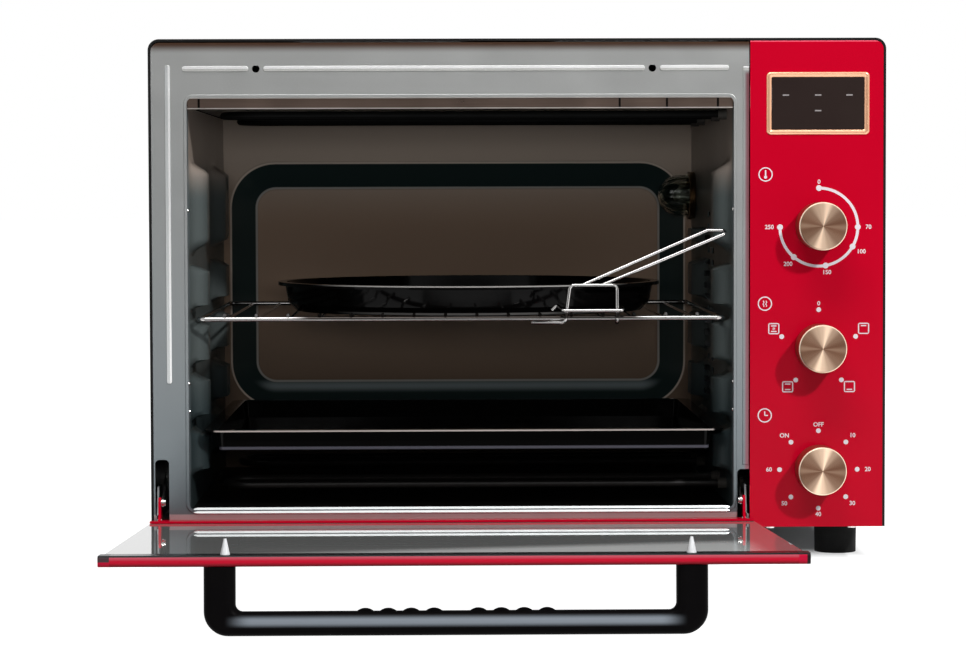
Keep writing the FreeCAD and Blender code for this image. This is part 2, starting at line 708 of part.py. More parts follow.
def make_base_plate():
    """The bottom sheet, slotted under the cavity."""
    plate = body("base_plate", FRONT)
    profile = sketch(plate, "base_outline", "XY_Plane", "foot_height")
    side = "casing_width / 2 - casing_sheet - seam"
    rectangle(profile, f"-({side})", side, "panel_thickness", "casing_depth - frame_sheet")
    pad(plate, "base_sheet", profile, "frame_sheet")
    vent = sketch(plate, "base_vent", "XY_Plane", "foot_height + overrun")
    for first in ("-vent_pitch * vent_count - vent_length / 2", "vent_length / 2"):
        low = "casing_depth / 2 - vent_length / 2"
        rectangle(vent, first, f"{first} + vent_width", low, f"{low} + vent_length")
    opened = pocket(plate, "base_vent_slot", vent, "2 * overrun")
    notches = sketch(plate, "ear_notches", "XY_Plane", "foot_height + overrun")
    deep = "panel_thickness + 2 * overrun"
    rectangle(notches, "door_left + slot_inset", "door_left + slot_inset + slot_width", "-overrun", deep)
    rectangle(notches, "opening_right + slot_start", "door_right - slot_inset", "-overrun", deep)
    row(plate, "base_vents", [opened], "X_Axis", "vent_pitch * (vent_count - 1)", "vent_count")
    pocket(plate, "ear_clearance", notches, "2 * overrun")
    return keep(plate)


# Front frame with its opening, beads, ribs and hinge slots

def slot_sides(side):
    """Left and right side of a hinge slot; the right one is open towards the control panel."""
    if side == "left":
        return "door_left + slot_inset", "door_left + slot_inset + slot_width"
    return "opening_right + slot_start", "frame_right + overrun"


def make_front_frame():
    frame = body("front_frame", FRONT)
    profile = sketch(frame, "frame_outline", "XZ_Plane")
    left = "-(casing_width / 2 - casing_sheet - seam)"
    outline(profile, [
        (left, "frame_bottom"),
        ("frame_right", "frame_bottom"),
        ("frame_right", "frame_top"),
        (left, "frame_top", "frame_corner"),
    ])
    pad(frame, "frame_sheet_metal", profile, "frame_sheet", backwards=True)
    bead = sketch(frame, "bead_outline", "XZ_Plane")
    rectangle(bead, "opening_left - bead_width", "opening_right + bead_width",
              "opening_bottom - bead_width", "opening_top + bead_width", "opening_corner + bead_width")
    pad(frame, "opening_bead", bead, "bead_height", taper="-bead_slope")
    ribs = sketch(frame, "rib_outlines", "XZ_Plane")
    spans = [
        ("rib_end_left", "frame_hole_left - rib_hole_gap"),
        ("frame_hole_left + rib_hole_gap", "frame_hole_right - rib_hole_gap"),
        ("frame_hole_right + rib_hole_gap", "rib_end_right"),
    ]
    for first, last in spans:
        rectangle(ribs, first, last, "rib_top - rib_width / 2", "rib_top + rib_width / 2",
                  "rib_width / 2 - seam")
    rectangle(ribs, "rib_side - rib_width / 2", "rib_side + rib_width / 2",
              "rib_side_bottom", "rib_side_top", "rib_width / 2 - seam")
    rectangle(ribs, "frame_right - fold_width", "frame_right",
              "hinge_height + slot_height_right + slot_corner", "fold_top")
    pad(frame, "ribs", ribs, "rib_height", taper="-bead_slope")
    holes = sketch(frame, "frame_cuts", "XZ_Plane", "overrun")
    rectangle(holes, "opening_left", "opening_right", "opening_bottom", "opening_top", "opening_corner")
    circle(holes, "frame_hole_left", "rib_top", "frame_hole_radius")
    circle(holes, "frame_hole_right", "rib_top", "frame_hole_radius")
    first, last = slot_sides("left")
    top = "hinge_height + slot_height_left"
    outline(holes, [
        (first, "frame_bottom - overrun"),
        (last, "frame_bottom - overrun"),
        (last, top, "slot_corner"),
        (first, top, "slot_corner"),
    ])
    first, last = slot_sides("right")
    top = "hinge_height + slot_height_right"
    outline(holes, [
        (first, "frame_bottom - overrun"),
        (last, "frame_bottom - overrun"),
        (last, top),
        (first, top, "slot_corner"),
    ])
    pocket(frame, "openings", holes, "frame_sheet + 2 * overrun")
    return keep(frame)


# Cavity

def make_side_wall(name, side):
    """A cavity wall with stamped runners in front and behind, and a flat middle."""
    wall = body(name, FRONT)
    inward = side == "left"
    face = "opening_left" if inward else "opening_right"
    profile = sketch(wall, f"{name}_outline", "YZ_Plane", face)
    rectangle(profile, "frame_sheet + seam", "cavity_depth - seam",
              "floor_height + frame_sheet", "ceiling_height - frame_sheet")
    pad(wall, f"{name}_sheet", profile, "frame_sheet", backwards=inward)
    spans = [
        ("runner_start", "runner_start + runner_length"),
        ("runner_rear_start", "runner_rear_start + runner_rear_length"),
    ]
    low = "runner_first - runner_pitch + runner_groove"
    root = sketch(wall, f"{name}_runner", "YZ_Plane", face)
    for first, last in spans:
        rectangle(root, first, last, low, "runner_first", "runner_corner")
    straight = pad(wall, f"{name}_runner_root", root, "runner_reach - runner_chamfer",
                   backwards=not inward)
    sign = "+" if inward else "-"
    crest = sketch(wall, f"{name}_crest", "YZ_Plane", f"{face} {sign} (runner_reach - runner_chamfer)")
    for first, last in spans:
        rectangle(crest, first, last, low, "runner_first", "runner_corner")
    sloped = pad(wall, f"{name}_runner_crest", crest, "runner_chamfer",
                 backwards=not inward, taper="-runner_slope")
    row(wall, f"{name}_runners", [straight, sloped], "Z_Axis",
        "runner_pitch * (runner_count - 1)", "runner_count")
    tall_low = "runner_first + runner_pitch * (runner_count - 1) + runner_groove"
    tall = spans if inward else spans[:1]
    tall_root = sketch(wall, f"{name}_tall", "YZ_Plane", face)
    tall_crest = sketch(wall, f"{name}_tall_crest", "YZ_Plane",
                        f"{face} {sign} (runner_reach - runner_chamfer)")
    for target in (tall_root, tall_crest):
        for first, last in tall:
            rectangle(target, first, last, tall_low, f"{tall_low} + runner_tall_height", "2 * runner_corner")
    pad(wall, f"{name}_tall_root", tall_root, "runner_reach - runner_chamfer", backwards=not inward)
    pad(wall, f"{name}_tall_top", tall_crest, "runner_chamfer", backwards=not inward, taper="-runner_slope")
    if not inward:
        cut_right_wall(wall)
    return keep(wall)


def element_ends():
    """Where the heating elements pass through the right wall: distance back and height."""
    places = []
    for height in ("element_low", "element_high"):
        for first in ("element_front", "element_rear"):
            places.append((first, height))
            places.append((f"{first} + element_leg_pitch", height))
    return places


def cut_right_wall(wall):
    """Slots before the fan, and the holes for the lamp and the heating elements."""
    slots = sketch(wall, "fan_slot_outlines", "YZ_Plane", "opening_right - overrun")
    half = "fan_column_gap / 2"
    low = "fan_slot_first"
    rectangle(slots, f"fan_middle_y - {half} - fan_slot_length", f"fan_middle_y - {half}",
              low, f"{low} + fan_slot_height")
    rectangle(slots, f"fan_middle_y + {half}", f"fan_middle_y + {half} + fan_slot_length",
              low, f"{low} + fan_slot_height")
    opened = pocket(wall, "fan_slot", slots, "frame_sheet + 2 * overrun", backwards=True)
    row(wall, "fan_slots", [opened], "Z_Axis", "fan_slot_pitch * (fan_slot_rows - 1)", "fan_slot_rows")
    holes = sketch(wall, "wall_holes", "YZ_Plane", "opening_right - overrun - runner_reach")
    circle(holes, "lamp_y", "lamp_height", "lamp_socket_radius + seam")
    for back, up in element_ends():
        circle(holes, back, up, "bushing_radius + seam")
    pocket(wall, "wall_openings", holes, "frame_sheet + runner_reach + 2 * overrun", backwards=True)


def make_ceiling():
    """The top sheet of the cavity, with bent tabs along its back edge."""
    ceiling = body("cavity_ceiling", FRONT)
    profile = sketch(ceiling, "ceiling_outline", "XY_Plane", "ceiling_height")
    rectangle(profile, "opening_left - frame_sheet", "opening_right + frame_sheet",
              "2 * (frame_sheet + seam)", "cavity_depth - seam")
    pad(ceiling, "ceiling_sheet", profile, "frame_sheet")
    tab = sketch(ceiling, "tab_outline", "XY_Plane", "ceiling_height")
    first = "(opening_left + opening_right) / 2 - tab_pitch * (tab_count - 1) / 2"
    last = "cavity_depth - seam"
    rectangle(tab, f"{first} - tab_width / 2", f"{first} + tab_width / 2", f"{last} - frame_sheet", last)
    bent = pad(ceiling, "tab", tab, "tab_height", backwards=True)
    row(ceiling, "tabs", [bent], "X_Axis", "tab_pitch * (tab_count - 1)", "tab_count")
    return keep(ceiling)


def make_floor():
    """The bottom sheet of the cavity, with an upturned step behind the lip of the frame."""
    floor = body("cavity_floor", FRONT)
    profile = sketch(floor, "floor_outline", "XY_Plane", "floor_height")
    rectangle(profile, "opening_left - frame_sheet", "opening_right + frame_sheet",
              "frame_sheet + seam", "cavity_depth - seam")
    pad(floor, "floor_sheet", profile, "frame_sheet", backwards=True)
    step = sketch(floor, "floor_step", "XY_Plane", "floor_height")
    rectangle(step, "opening_left + opening_corner", "opening_right - opening_corner",
              "frame_sheet + seam", "2 * frame_sheet + seam")
    pad(floor, "floor_lip", step, "opening_bottom - floor_height")
    return keep(floor)


def make_back_wall():
    """The back of the cavity, with one large stamped dish."""
    wall = body("cavity_back_wall", FRONT)
    profile = sketch(wall, "back_outline", "XZ_Plane", "-cavity_depth")
    rectangle(profile, "opening_left - frame_sheet", "opening_right + frame_sheet",
              "floor_height - frame_sheet", "ceiling_height + frame_sheet")
    pad(wall, "back_sheet", profile, "frame_sheet", backwards=True)
    outer = sketch(wall, "dish_outside", "XZ_Plane", "-cavity_depth")
    rectangle(outer, "opening_left + dish_left", "opening_right - dish_left", "dish_bottom", "dish_top",
              "dish_corner")
    pad(wall, "dish_back", outer, "dish_depth + frame_sheet", backwards=True, taper="-dish_slope")
    inner = sketch(wall, "dish_inside", "XZ_Plane", "-cavity_depth")
    edge = "frame_sheet * 2"
    rectangle(inner, f"opening_left + dish_left + {edge}", f"opening_right - dish_left - {edge}",
              f"dish_bottom + {edge}", f"dish_top - {edge}", f"dish_corner - {edge}")
    pocket(wall, "dish", inner, "dish_depth", taper="-dish_slope")
    return keep(wall)


def make_heat_shield():
    """The bent strip that closes the gap between the opening's top and the ceiling."""
    shield = body("upper_heat_shield", FRONT)
    profile = sketch(shield, "shield_section", "YZ_Plane", "opening_left + shield_margin")
    low = "opening_top - seam - shield_height"
    outline(profile, [
        ("frame_sheet + seam", low),
        ("shield_depth", low),
        ("shield_depth", f"{low} + frame_sheet"),
        ("frame_sheet * 2 + seam", f"{low} + frame_sheet"),
        ("frame_sheet * 2 + seam", "opening_top + shield_cover"),
        ("frame_sheet + seam", "opening_top + shield_cover"),
    ])
    pad(shield, "shield_strip", profile, "opening_right - opening_left - 2 * shield_margin")
    return keep(shield)


# Heating elements, lamp and fan

def element_name(number):
    return ["lower_front_element", "lower_rear_element", "upper_front_element", "upper_rear_element"][number]


def make_elements():
    """Four steel tubes, each bent to a hairpin whose legs pass through bushings in the right wall."""
    ends = element_ends()
    for number in range(4):
        first, second = ends[2 * number], ends[2 * number + 1]
        right = value("opening_right + bushing_tail + terminal_length")
        left = value("element_left")
        up = value(first[1])
        front = value(first[0])
        back = value(second[0])
        corners = [Vector(right, front, up), Vector(left, front, up), Vector(left, back, up),
                   Vector(right, back, up)]
        tube = wire_along(rounded_path(corners, value("element_bend")), value("element_radius"))
        keep(shape_piece(element_name(number), tube), FRONT)


def make_bushings():
    """A ceramic bushing round each end of each element."""
    rings = []
    for number, (back, up) in enumerate(element_ends()):
        start = "opening_right - bushing_length"
        length = "bushing_length + bushing_tail"
        outer = cylinder(f"bushing_{number}", "bushing_radius", length, at(start, back, up, FACING_RIGHT))
        bore = cylinder(f"bushing_bore_{number}", "element_radius + seam / 2", f"{length} + 2 * overrun",
                        at(f"{start} - overrun", back, up, FACING_RIGHT))
        rings.append(cut(f"bushing_ring_{number}", outer, bore))
    return keep(group("element_bushings", rings), FRONT)


def make_lamp():
    """A ringed glass dome on the right wall, with its bulb and socket."""
    middle = at("opening_right", "front_plane_y + lamp_y", "lamp_height", FACING_LEFT)
    glass = body("lamp_glass", middle)
    section = sketch(glass, "dome_section", "XZ_Plane")
    shoulder = "lamp_length - lamp_radius"
    dome_outline(section, "lamp_radius", shoulder, "lamp_glass_wall", "lamp_ring_length + seam")
    revolve(glass, "dome", section, "Z_Axis")
    keep(glass)
    ring = cylinder("ring_block", "lamp_ring_radius", "lamp_ring_length", at("0", "0", "0"))
    hole = cylinder("ring_hole", "bulb_radius + seam", "lamp_ring_length + 2 * overrun",
                    at("0", "0", "-overrun"))
    keep(cut("lamp_ring", ring, hole), middle)
    socket = cylinder("socket_block", "lamp_socket_radius", "lamp_socket_length",
                      at("0", "0", "-lamp_socket_length"))
    recess = cylinder("socket_hole", "bulb_radius + seam", "lamp_socket_length",
                      at("0", "0", "-lamp_socket_length / 2"))
    keep(cut("lamp_socket", socket, recess), middle)
    bulb = body("lamp_bulb", middle)
    outline_bulb = sketch(bulb, "bulb_section", "XZ_Plane")
    low = "-lamp_socket_length / 2 + seam"
    outline(outline_bulb, [
        ("0", low),
        ("bulb_radius", low),
        ("bulb_radius", "bulb_length", "bulb_radius - seam"),
        ("0", "bulb_length"),
    ])
    revolve(bulb, "bulb", outline_bulb, "Z_Axis")
    keep(bulb)


def dome_outline(target, radius, shoulder, wall, start):
    """Half section of a round-ended cup: a quarter arc on a straight side, inside and outside."""
    tip = f"{shoulder} + {radius}"
    inner = f"{radius} - {wall}"
    big = value(radius)
    small = value(inner)
    rise = value(shoulder)
    root = value(start)
    slant = math.sqrt(0.5)
    points = [
        Vector(small, root, 0), Vector(big, root, 0), Vector(big, rise, 0), Vector(0, rise + big, 0),
        Vector(0, rise + small, 0), Vector(small, rise, 0),
    ]
    foot = target.addGeometry(Part.LineSegment(points[0], points[1]))
    side = target.addGeometry(Part.LineSegment(points[1], points[2]))
    outer = target.addGeometry(Part.Arc(points[2], Vector(big * slant, rise + big * slant, 0), points[3]))
    top = target.addGeometry(Part.LineSegment(points[3], points[4]))
    inside = target.addGeometry(
        Part.Arc(points[5], Vector(small * slant, rise + small * slant, 0), points[4]))
    back = target.addGeometry(Part.LineSegment(points[5], points[0]))
    fix_point(target, foot, 1, inner, start)
    fix_point(target, side, 1, radius, start)
    fix_point(target, side, 2, radius, shoulder)
    fix_point(target, top, 1, "0", tip)
    fix_point(target, top, 2, "0", f"{shoulder} + {inner}")
    fix_point(target, back, 1, inner, shoulder)
    target.addConstraint(Sketcher.Constraint("Coincident", foot, 2, side, 1))
    target.addConstraint(Sketcher.Constraint("Coincident", side, 2, outer, 1))
    target.addConstraint(Sketcher.Constraint("Coincident", outer, 2, top, 1))
    target.addConstraint(Sketcher.Constraint("Coincident", top, 2, inside, 2))
    target.addConstraint(Sketcher.Constraint("Coincident", inside, 1, back, 1))
    target.addConstraint(Sketcher.Constraint("Coincident", back, 2, foot, 1))


def make_fan():
    """Housing, radial fan and motor behind the slotted right wall."""
    start = "opening_right + frame_sheet + seam"
    place = at(start, "front_plane_y + fan_middle_y", "fan_height", FACING_RIGHT)
    housing = body("fan_housing", place)
    section = sketch(housing, "housing_section", "XZ_Plane")
    outline(section, [
        ("fan_shaft_radius + seam", "fan_housing_depth - frame_sheet"),
        ("fan_housing_radius - frame_sheet", "fan_housing_depth - frame_sheet"),
        ("fan_housing_radius - frame_sheet", "frame_sheet"),
        ("fan_housing_radius - frame_sheet", "0"),
        ("fan_housing_radius + 2 * bushing_length", "0"),
        ("fan_housing_radius + 2 * bushing_length", "frame_sheet"),
        ("fan_housing_radius", "frame_sheet"),
        ("fan_housing_radius", "fan_housing_depth"),
        ("fan_shaft_radius + seam", "fan_housing_depth"),
    ])
    revolve(housing, "housing", section, "Z_Axis")
    keep(housing)
    fan = body("fan_blade", place)
    disc = sketch(fan, "fan_disc", "XY_Plane", "2 * overrun")
    circle(disc, "0", "0", "fan_radius - 2 * bushing_length")
    pad(fan, "disc", disc, "fan_disc_sheet")
    hub = sketch(fan, "fan_hub", "XY_Plane", "2 * overrun - fan_disc_sheet")
    circle(hub, "0", "0", "fan_hub_radius")
    pad(fan, "hub", hub, "fan_disc_sheet + fan_blade_depth / 2")
    shaft = sketch(fan, "fan_shaft", "XY_Plane", "2 * overrun")
    circle(shaft, "0", "0", "fan_shaft_radius")
    pad(fan, "shaft", shaft, "fan_housing_depth - 2 * overrun + board_gap")
    blade = sketch(fan, "fan_blade_outline", "XY_Plane", "2 * overrun")
    rectangle(blade, "fan_hub_radius + bushing_length * 2", "fan_radius", "0", "fan_disc_sheet")
    vane = pad(fan, "vane", blade, "fan_blade_depth")
    vanes = fan.newObject("PartDesign::PolarPattern", "vanes")
    vanes.Originals = [vane]
    vanes.Axis = (plane_of(fan, "Z_Axis"), [""])
    vanes.Angle = 360
    bind(vanes, "Occurrences", "fan_blade_count")
    fan.Tip = vanes
    doc.recompute()
    keep(fan)
    block = box("motor_block", ("-fan_motor_size / 2", "-fan_motor_size / 2", "fan_housing_depth"),
                "fan_motor_size", "fan_motor_size", "fan_motor_length")
    bore = cylinder("motor_bore", "fan_shaft_radius + seam", "fan_housing_depth + fan_motor_length / 2",
                    at("0", "0", "0"))
    keep(cut("fan_motor", block, bore), place)


# Control panel

def knob_height(number):
    return f"temperature_knob_height - knob_pitch * {number}"


def make_control_panel():
    """The painted front plate, with holes for the display and the three controls."""
    panel = body("control_panel", FRONT)
    profile = sketch(panel, "panel_outline", "XZ_Plane", "panel_front")
    right = "casing_width / 2 - casing_sheet - seam"
    top = "casing_top - casing_sheet - seam"
    outline(profile, [
        ("panel_left", "foot_height"),
        (right, "foot_height"),
        (right, top, "casing_corner - casing_sheet"),
        ("panel_left", top),
    ])
    pad(panel, "panel_plate", profile, "panel_thickness", backwards=True)
    holes = sketch(panel, "panel_holes", "XZ_Plane", "overrun")
    rectangle(holes, "display_left + bezel_width / 2", "display_left + display_width - bezel_width / 2",
              "display_bottom + bezel_width / 2", "display_bottom + display_height - bezel_width / 2",
              "bezel_corner / 2")
    for number in range(3):
        circle(holes, "knob_x", knob_height(number), "control_bushing_radius + bushing_room")
    pocket(panel, "panel_openings", holes, "panel_thickness + 2 * overrun")
    return keep(panel)


def make_display():
    """A metal bezel round a dark window, with the board behind it."""
    bezel = body("display_bezel", FRONT)
    face = "panel_front"
    profile = sketch(bezel, "bezel_outline", "XZ_Plane", face)
    right = "display_left + display_width"
    top = "display_bottom + display_height"
    rectangle(profile, "display_left", right, "display_bottom", top, "bezel_corner")
    plate = pad(bezel, "bezel_plate", profile, "bezel_height")
    fillet(bezel, "bezel_edge", plate, lambda edge: is_front_edge(edge, plate), "bezel_height / 3")
    hole = sketch(bezel, "bezel_hole", "XZ_Plane", f"{face} + overrun")
    rectangle(hole, "display_left + bezel_width", f"{right} - bezel_width",
              "display_bottom + bezel_width", f"{top} - bezel_width", "bezel_corner / 2")
    pocket(bezel, "bezel_opening", hole, "2 * overrun")
    keep(bezel)
    window = body("display_window", FRONT)
    gap = "bezel_width + seam / 2"
    pane = sketch(window, "window_outline", "XZ_Plane", f"{face} + bezel_height - window_recess")
    rectangle(pane, f"display_left + {gap}", f"{right} - ({gap})",
              f"display_bottom + {gap}", f"{top} - ({gap})", "bezel_corner / 2 - seam")
    pad(window, "window_pane", pane, "window_thickness", backwards=True)
    keep(window)
    depth = "window_thickness + window_recess - bezel_height - panel_front"
    low = ("display_left + bezel_width", f"front_plane_y + {depth} + board_gap", "display_bottom")
    board = box("board_plate", low, "display_width - 2 * bezel_width", "board_thickness", "display_height")
    carrier_low = ("display_left + 2 * bezel_width", f"front_plane_y + {depth} + seam / 2",
                   "display_bottom + bezel_width * 2")
    carrier = box("board_carrier", carrier_low, "display_width - 4 * bezel_width", "board_gap",
                  "display_height - 4 * bezel_width")
    keep(fuse("display_board", [board, carrier]))


def is_front_edge(edge, feature):
    """Edges that lie in the frontmost plane of a feature."""
    front = feature.Shape.BoundBox.YMin
    bounds = edge.BoundBox
    return bounds.YMax - front < value("seam") / 10


def make_knob(name, number):
    """A spun cup with a flat bevelled face and a boss for the shaft."""
    middle = at("knob_x", "front_plane_y - panel_front - knob_gap", knob_height(number), FACING_FRONT)
    knob = body(f"{name}_knob", middle)
    section = sketch(knob, f"{name}_knob_section", "XZ_Plane")
    inner = "knob_radius - knob_wall"
    outline(section, [
        ("shaft_radius", "knob_wall"),
        ("knob_boss_radius", "knob_wall"),
        ("knob_boss_radius", "knob_length - 2 * knob_wall"),
        (inner, "knob_length - 2 * knob_wall"),
        (inner, "0"),
        ("knob_radius", "0"),
        ("knob_radius", "knob_length - knob_bevel"),
        ("knob_radius - knob_bevel", "knob_length"),
        ("0", "knob_length"),
        ("0", "knob_length - knob_wall"),
        ("shaft_radius", "knob_length - knob_wall"),
    ])
    revolve(knob, f"{name}_spin", section, "Z_Axis")
    keep(knob)
    reach = "knob_length - knob_wall"
    tail = "knob_gap + panel_front + panel_thickness + shaft_tail"
    rod = cylinder(f"{name}_rod", "shaft_radius", f"{reach} + {tail}", at("0", "0", f"-({tail})"))
    flat = box(f"{name}_flat", ("-shaft_radius", "shaft_radius - shaft_flat", "knob_wall"),
               "2 * shaft_radius", "shaft_radius", "knob_length")
    keep(cut(f"{name}_shaft", rod, flat), middle)


def make_control(name, number, depth):
    """The control behind a knob: a block and a bushing, bored for the shaft."""
    middle = at("knob_x", "front_plane_y + panel_thickness - panel_front", knob_height(number),
                FACING_FRONT)
    block = box(f"{name}_block", ("-control_size / 2", "-control_size / 2", f"-({depth}) - seam"),
                "control_size", "control_size", depth)
    bushing = cylinder(f"{name}_bushing", "control_bushing_radius", "panel_thickness + seam",
                       at("0", "0", "-seam"))
    bore = cylinder(f"{name}_bore", "shaft_radius + shaft_clearance",
                    "shaft_tail + panel_thickness + 3 * overrun", at("0", "0", "-shaft_tail - overrun"))
    whole = fuse(f"{name}_body", [block, bushing])
    keep(cut(name, whole, bore), middle)


# Door, built closed and upright from its hinge pins, and laid open by its placement

INNER_FACE = "(door_gap - hinge_reach)"
SCREW_UP = "door_length - handle_drop - handle_width / 2"
SCREW_OFFSET = "handle_screw_spacing / 2"


def make_door_glass():
    glass = body("door_glass", AT_HINGE)
    profile = sketch(glass, "glass_outline", "XZ_Plane", f"{INNER_FACE} + glass_setback")
    rectangle(profile, "door_left", "door_right", "glass_start",
              "door_length - top_trim_height + trim_overlap")
    pad(glass, "glass_pane", profile, "glass_thickness")
    return keep(glass)


def glass_groove(target, low, high):
    """The groove that holds the glass, in a section across the door."""
    near = f"-({INNER_FACE} + glass_setback - trim_clearance)"
    far = f"-({INNER_FACE} + glass_setback + glass_thickness + trim_clearance)"
    rectangle(target, far, near, low, high)


def trim_section(owner, name, start, length):
    """The rounded free-end trim between two places, with its groove for the glass."""
    profile = sketch(owner, f"{name}_section", "YZ_Plane", start)
    inner = f"-{INNER_FACE}"
    outer = f"-({INNER_FACE} + door_thickness)"
    low = "door_length - top_trim_height"
    outline(profile, [
        (outer, low),
        (inner, low),
        (inner, "door_length", "trim_rounding"),
        (outer, "door_length", "trim_rounding"),
    ])
    pad(owner, f"{name}_bar", profile, length)
    groove = sketch(owner, f"{name}_groove", "YZ_Plane", f"{start} - overrun")
    glass_groove(groove, f"{low} - overrun", f"{low} + trim_overlap + trim_clearance")
    pocket(owner, f"{name}_slot", groove, f"{length} + 2 * overrun", backwards=True)


def make_top_trim():
    trim = body("door_top_trim", AT_HINGE)
    start = "door_left + end_cap_length"
    length = "door_right - door_left - 2 * end_cap_length"
    trim_section(trim, "top_trim", start, length)
    holes = sketch(trim, "handle_screw_holes", "XZ_Plane", "-overrun")
    for sign in ("-", "+"):
        circle(holes, f"handle_screw_middle {sign} {SCREW_OFFSET}", SCREW_UP, "handle_screw_radius")
    pocket(trim, "handle_screw_bores", holes, "door_thickness + 3 * overrun", backwards=True)
    keep(trim)
    caps = []
    for name, first in (("left", "door_left"), ("right", "door_right - end_cap_length")):
        cap = body(f"end_cap_{name}")
        trim_section(cap, f"cap_{name}", first, "end_cap_length")
        caps.append(cap)
    keep(group("end_caps", caps), AT_HINGE)


def make_bottom_trim():
    """The hinge-end trim with a bent ear at each end, each bored for two pins."""
    trim = body("door_bottom_trim", AT_HINGE)
    inner = f"-{INNER_FACE}"
    outer = f"-({INNER_FACE} + door_thickness)"
    upper = sketch(trim, "wide_part", "YZ_Plane", "door_left")
    rectangle(upper, outer, inner, "glass_start - hinge_reach", "bottom_trim_height")
    pad(trim, "wide_bar", upper, "door_right - door_left")
    lower = sketch(trim, "narrow_part", "YZ_Plane", "door_left + ear_inset")
    outline(lower, [
        (outer, "-hinge_pin_radius", "trim_rounding"),
        (inner, "-hinge_pin_radius"),
        (inner, "glass_start"),
        (outer, "glass_start"),
    ])
    pad(trim, "narrow_bar", lower, "door_right - door_left - 2 * ear_inset")
    groove = sketch(trim, "bottom_groove", "YZ_Plane", "door_left - overrun")
    glass_groove(groove, "glass_start - trim_clearance", "bottom_trim_height + overrun")
    pocket(trim, "bottom_slot", groove, "door_right - door_left + 2 * overrun", backwards=True)
    ear_places = ("door_left + ear_inset", "door_right - ear_inset - ear_thickness")
    for name, first in zip(("left", "right"), ear_places):
        ear = sketch(trim, f"ear_{name}_outline", "YZ_Plane", first)
        make_ear_outline(ear)
        pad(trim, f"ear_{name}", ear, "ear_thickness")
    bores = sketch(trim, "ear_bores", "YZ_Plane", "door_left - overrun")
    circle(bores, "0", "0", "hinge_pin_radius + pin_clearance")
    pocket(trim, "hinge_bores", bores, "ear_inset + ear_thickness + overrun + seam", backwards=True)
    far_bores = sketch(trim, "far_ear_bores", "YZ_Plane", "door_right + overrun")
    circle(far_bores, "0", "0", "hinge_pin_radius + pin_clearance")
    pocket(trim, "far_hinge_bores", far_bores, "ear_inset + ear_thickness + overrun + seam")
    pins = sketch(trim, "link_bores", "YZ_Plane", "door_left - overrun")
    circle(pins, "link_pin_reach", "link_pin_offset", "link_pin_radius")
    pocket(trim, "link_pin_bores", pins, "door_right - door_left + 2 * overrun", backwards=True)
    keep(trim)


def make_ear_outline(target):
    """The side view of an ear: it tapers from the door to a blunt tip."""
    points = [
        (f"-({INNER_FACE} + door_thickness)", "-hinge_pin_radius"),
        ("-hinge_reach", "-ear_half_width"),
        ("ear_reach - ear_tip_half_width", "link_pin_offset - ear_tip_half_width"),
        ("ear_reach", "link_pin_offset - ear_tip_half_width / 2"),
        ("ear_reach", "link_pin_offset + ear_tip_half_width / 2"),
        ("ear_reach - ear_tip_half_width", "link_pin_offset + ear_tip_half_width"),
        ("hinge_reach", "ear_half_width + link_pin_offset"),
        (f"-{INNER_FACE}", "glass_start"),
        (f"-({INNER_FACE} + door_thickness)", "glass_start"),
    ]
    outline(target, points)


def hinge_places(side):
    """Across: the bracket's first face, the ear's outer face and the link's first face."""
    if side == "left":
        ear = "door_left + ear_inset"
        return (f"{ear} - bracket_gap - bracket_thickness", ear, f"{ear} + ear_thickness + link_gap")
    ear = "door_right - ear_inset"
    return (f"{ear} + bracket_gap", ear, f"{ear} - ear_thickness - link_gap - link_thickness")


def make_hinge(side):
    """Fixed bracket with the hinge pin, and the link that runs from the ear into the slot."""
    bracket_x, ear_x, link_x = hinge_places(side)
    inward = side == "left"
    bracket = body(f"hinge_bracket_{side}", at("0", "front_plane_y - hinge_reach", "hinge_height"))
    profile = sketch(bracket, f"bracket_{side}_outline", "YZ_Plane", bracket_x)
    low = "foot_height + frame_sheet + seam - hinge_height"
    nose = "bracket_nose"
    outline(profile, [
        (f"-{nose}", low),
        ("hinge_reach + bracket_depth", low),
        ("hinge_reach + bracket_depth", "bracket_height"),
        ("hinge_reach + bracket_depth / 2", "bracket_height"),
        ("hinge_reach + bracket_depth / 4", nose),
        (f"-{nose}", nose),
    ])
    pad(bracket, f"bracket_{side}_plate", profile, "bracket_thickness")
    start = f"{bracket_x} + {'0' if inward else 'bracket_thickness'}"
    pin = sketch(bracket, f"pin_{side}_outline", "YZ_Plane", start)
    circle(pin, "0", "0", "hinge_pin_radius")
    pad(bracket, f"pin_{side}", pin, "bracket_thickness + bracket_gap + ear_thickness + seam",
        backwards=not inward)
    keep(bracket)
    link = body(f"door_link_{side}", None)
    turn = "rotation(vector(1; 0; 0); link_open_angle - door_opening_angle)"
    bind(link, "Placement", f"{AT_HINGE} * {at(link_x, 'link_pin_reach', 'link_pin_offset', turn)}")
    shape = sketch(link, f"link_{side}_outline", "YZ_Plane")
    rectangle(shape, "-link_half_width", "link_length + link_half_width", "-link_half_width",
              "link_half_width", "link_half_width - seam")
    pad(link, f"link_{side}_plate", shape, "link_thickness")
    bores = sketch(link, f"link_{side}_bores", "YZ_Plane", "-overrun")
    circle(bores, "0", "0", "link_pin_radius + pin_clearance")
    circle(bores, "link_length", "0", "link_pin_radius + pin_clearance")
    pocket(link, f"link_{side}_holes", bores, "link_thickness + 2 * overrun", backwards=True)
    pieces.append(link)


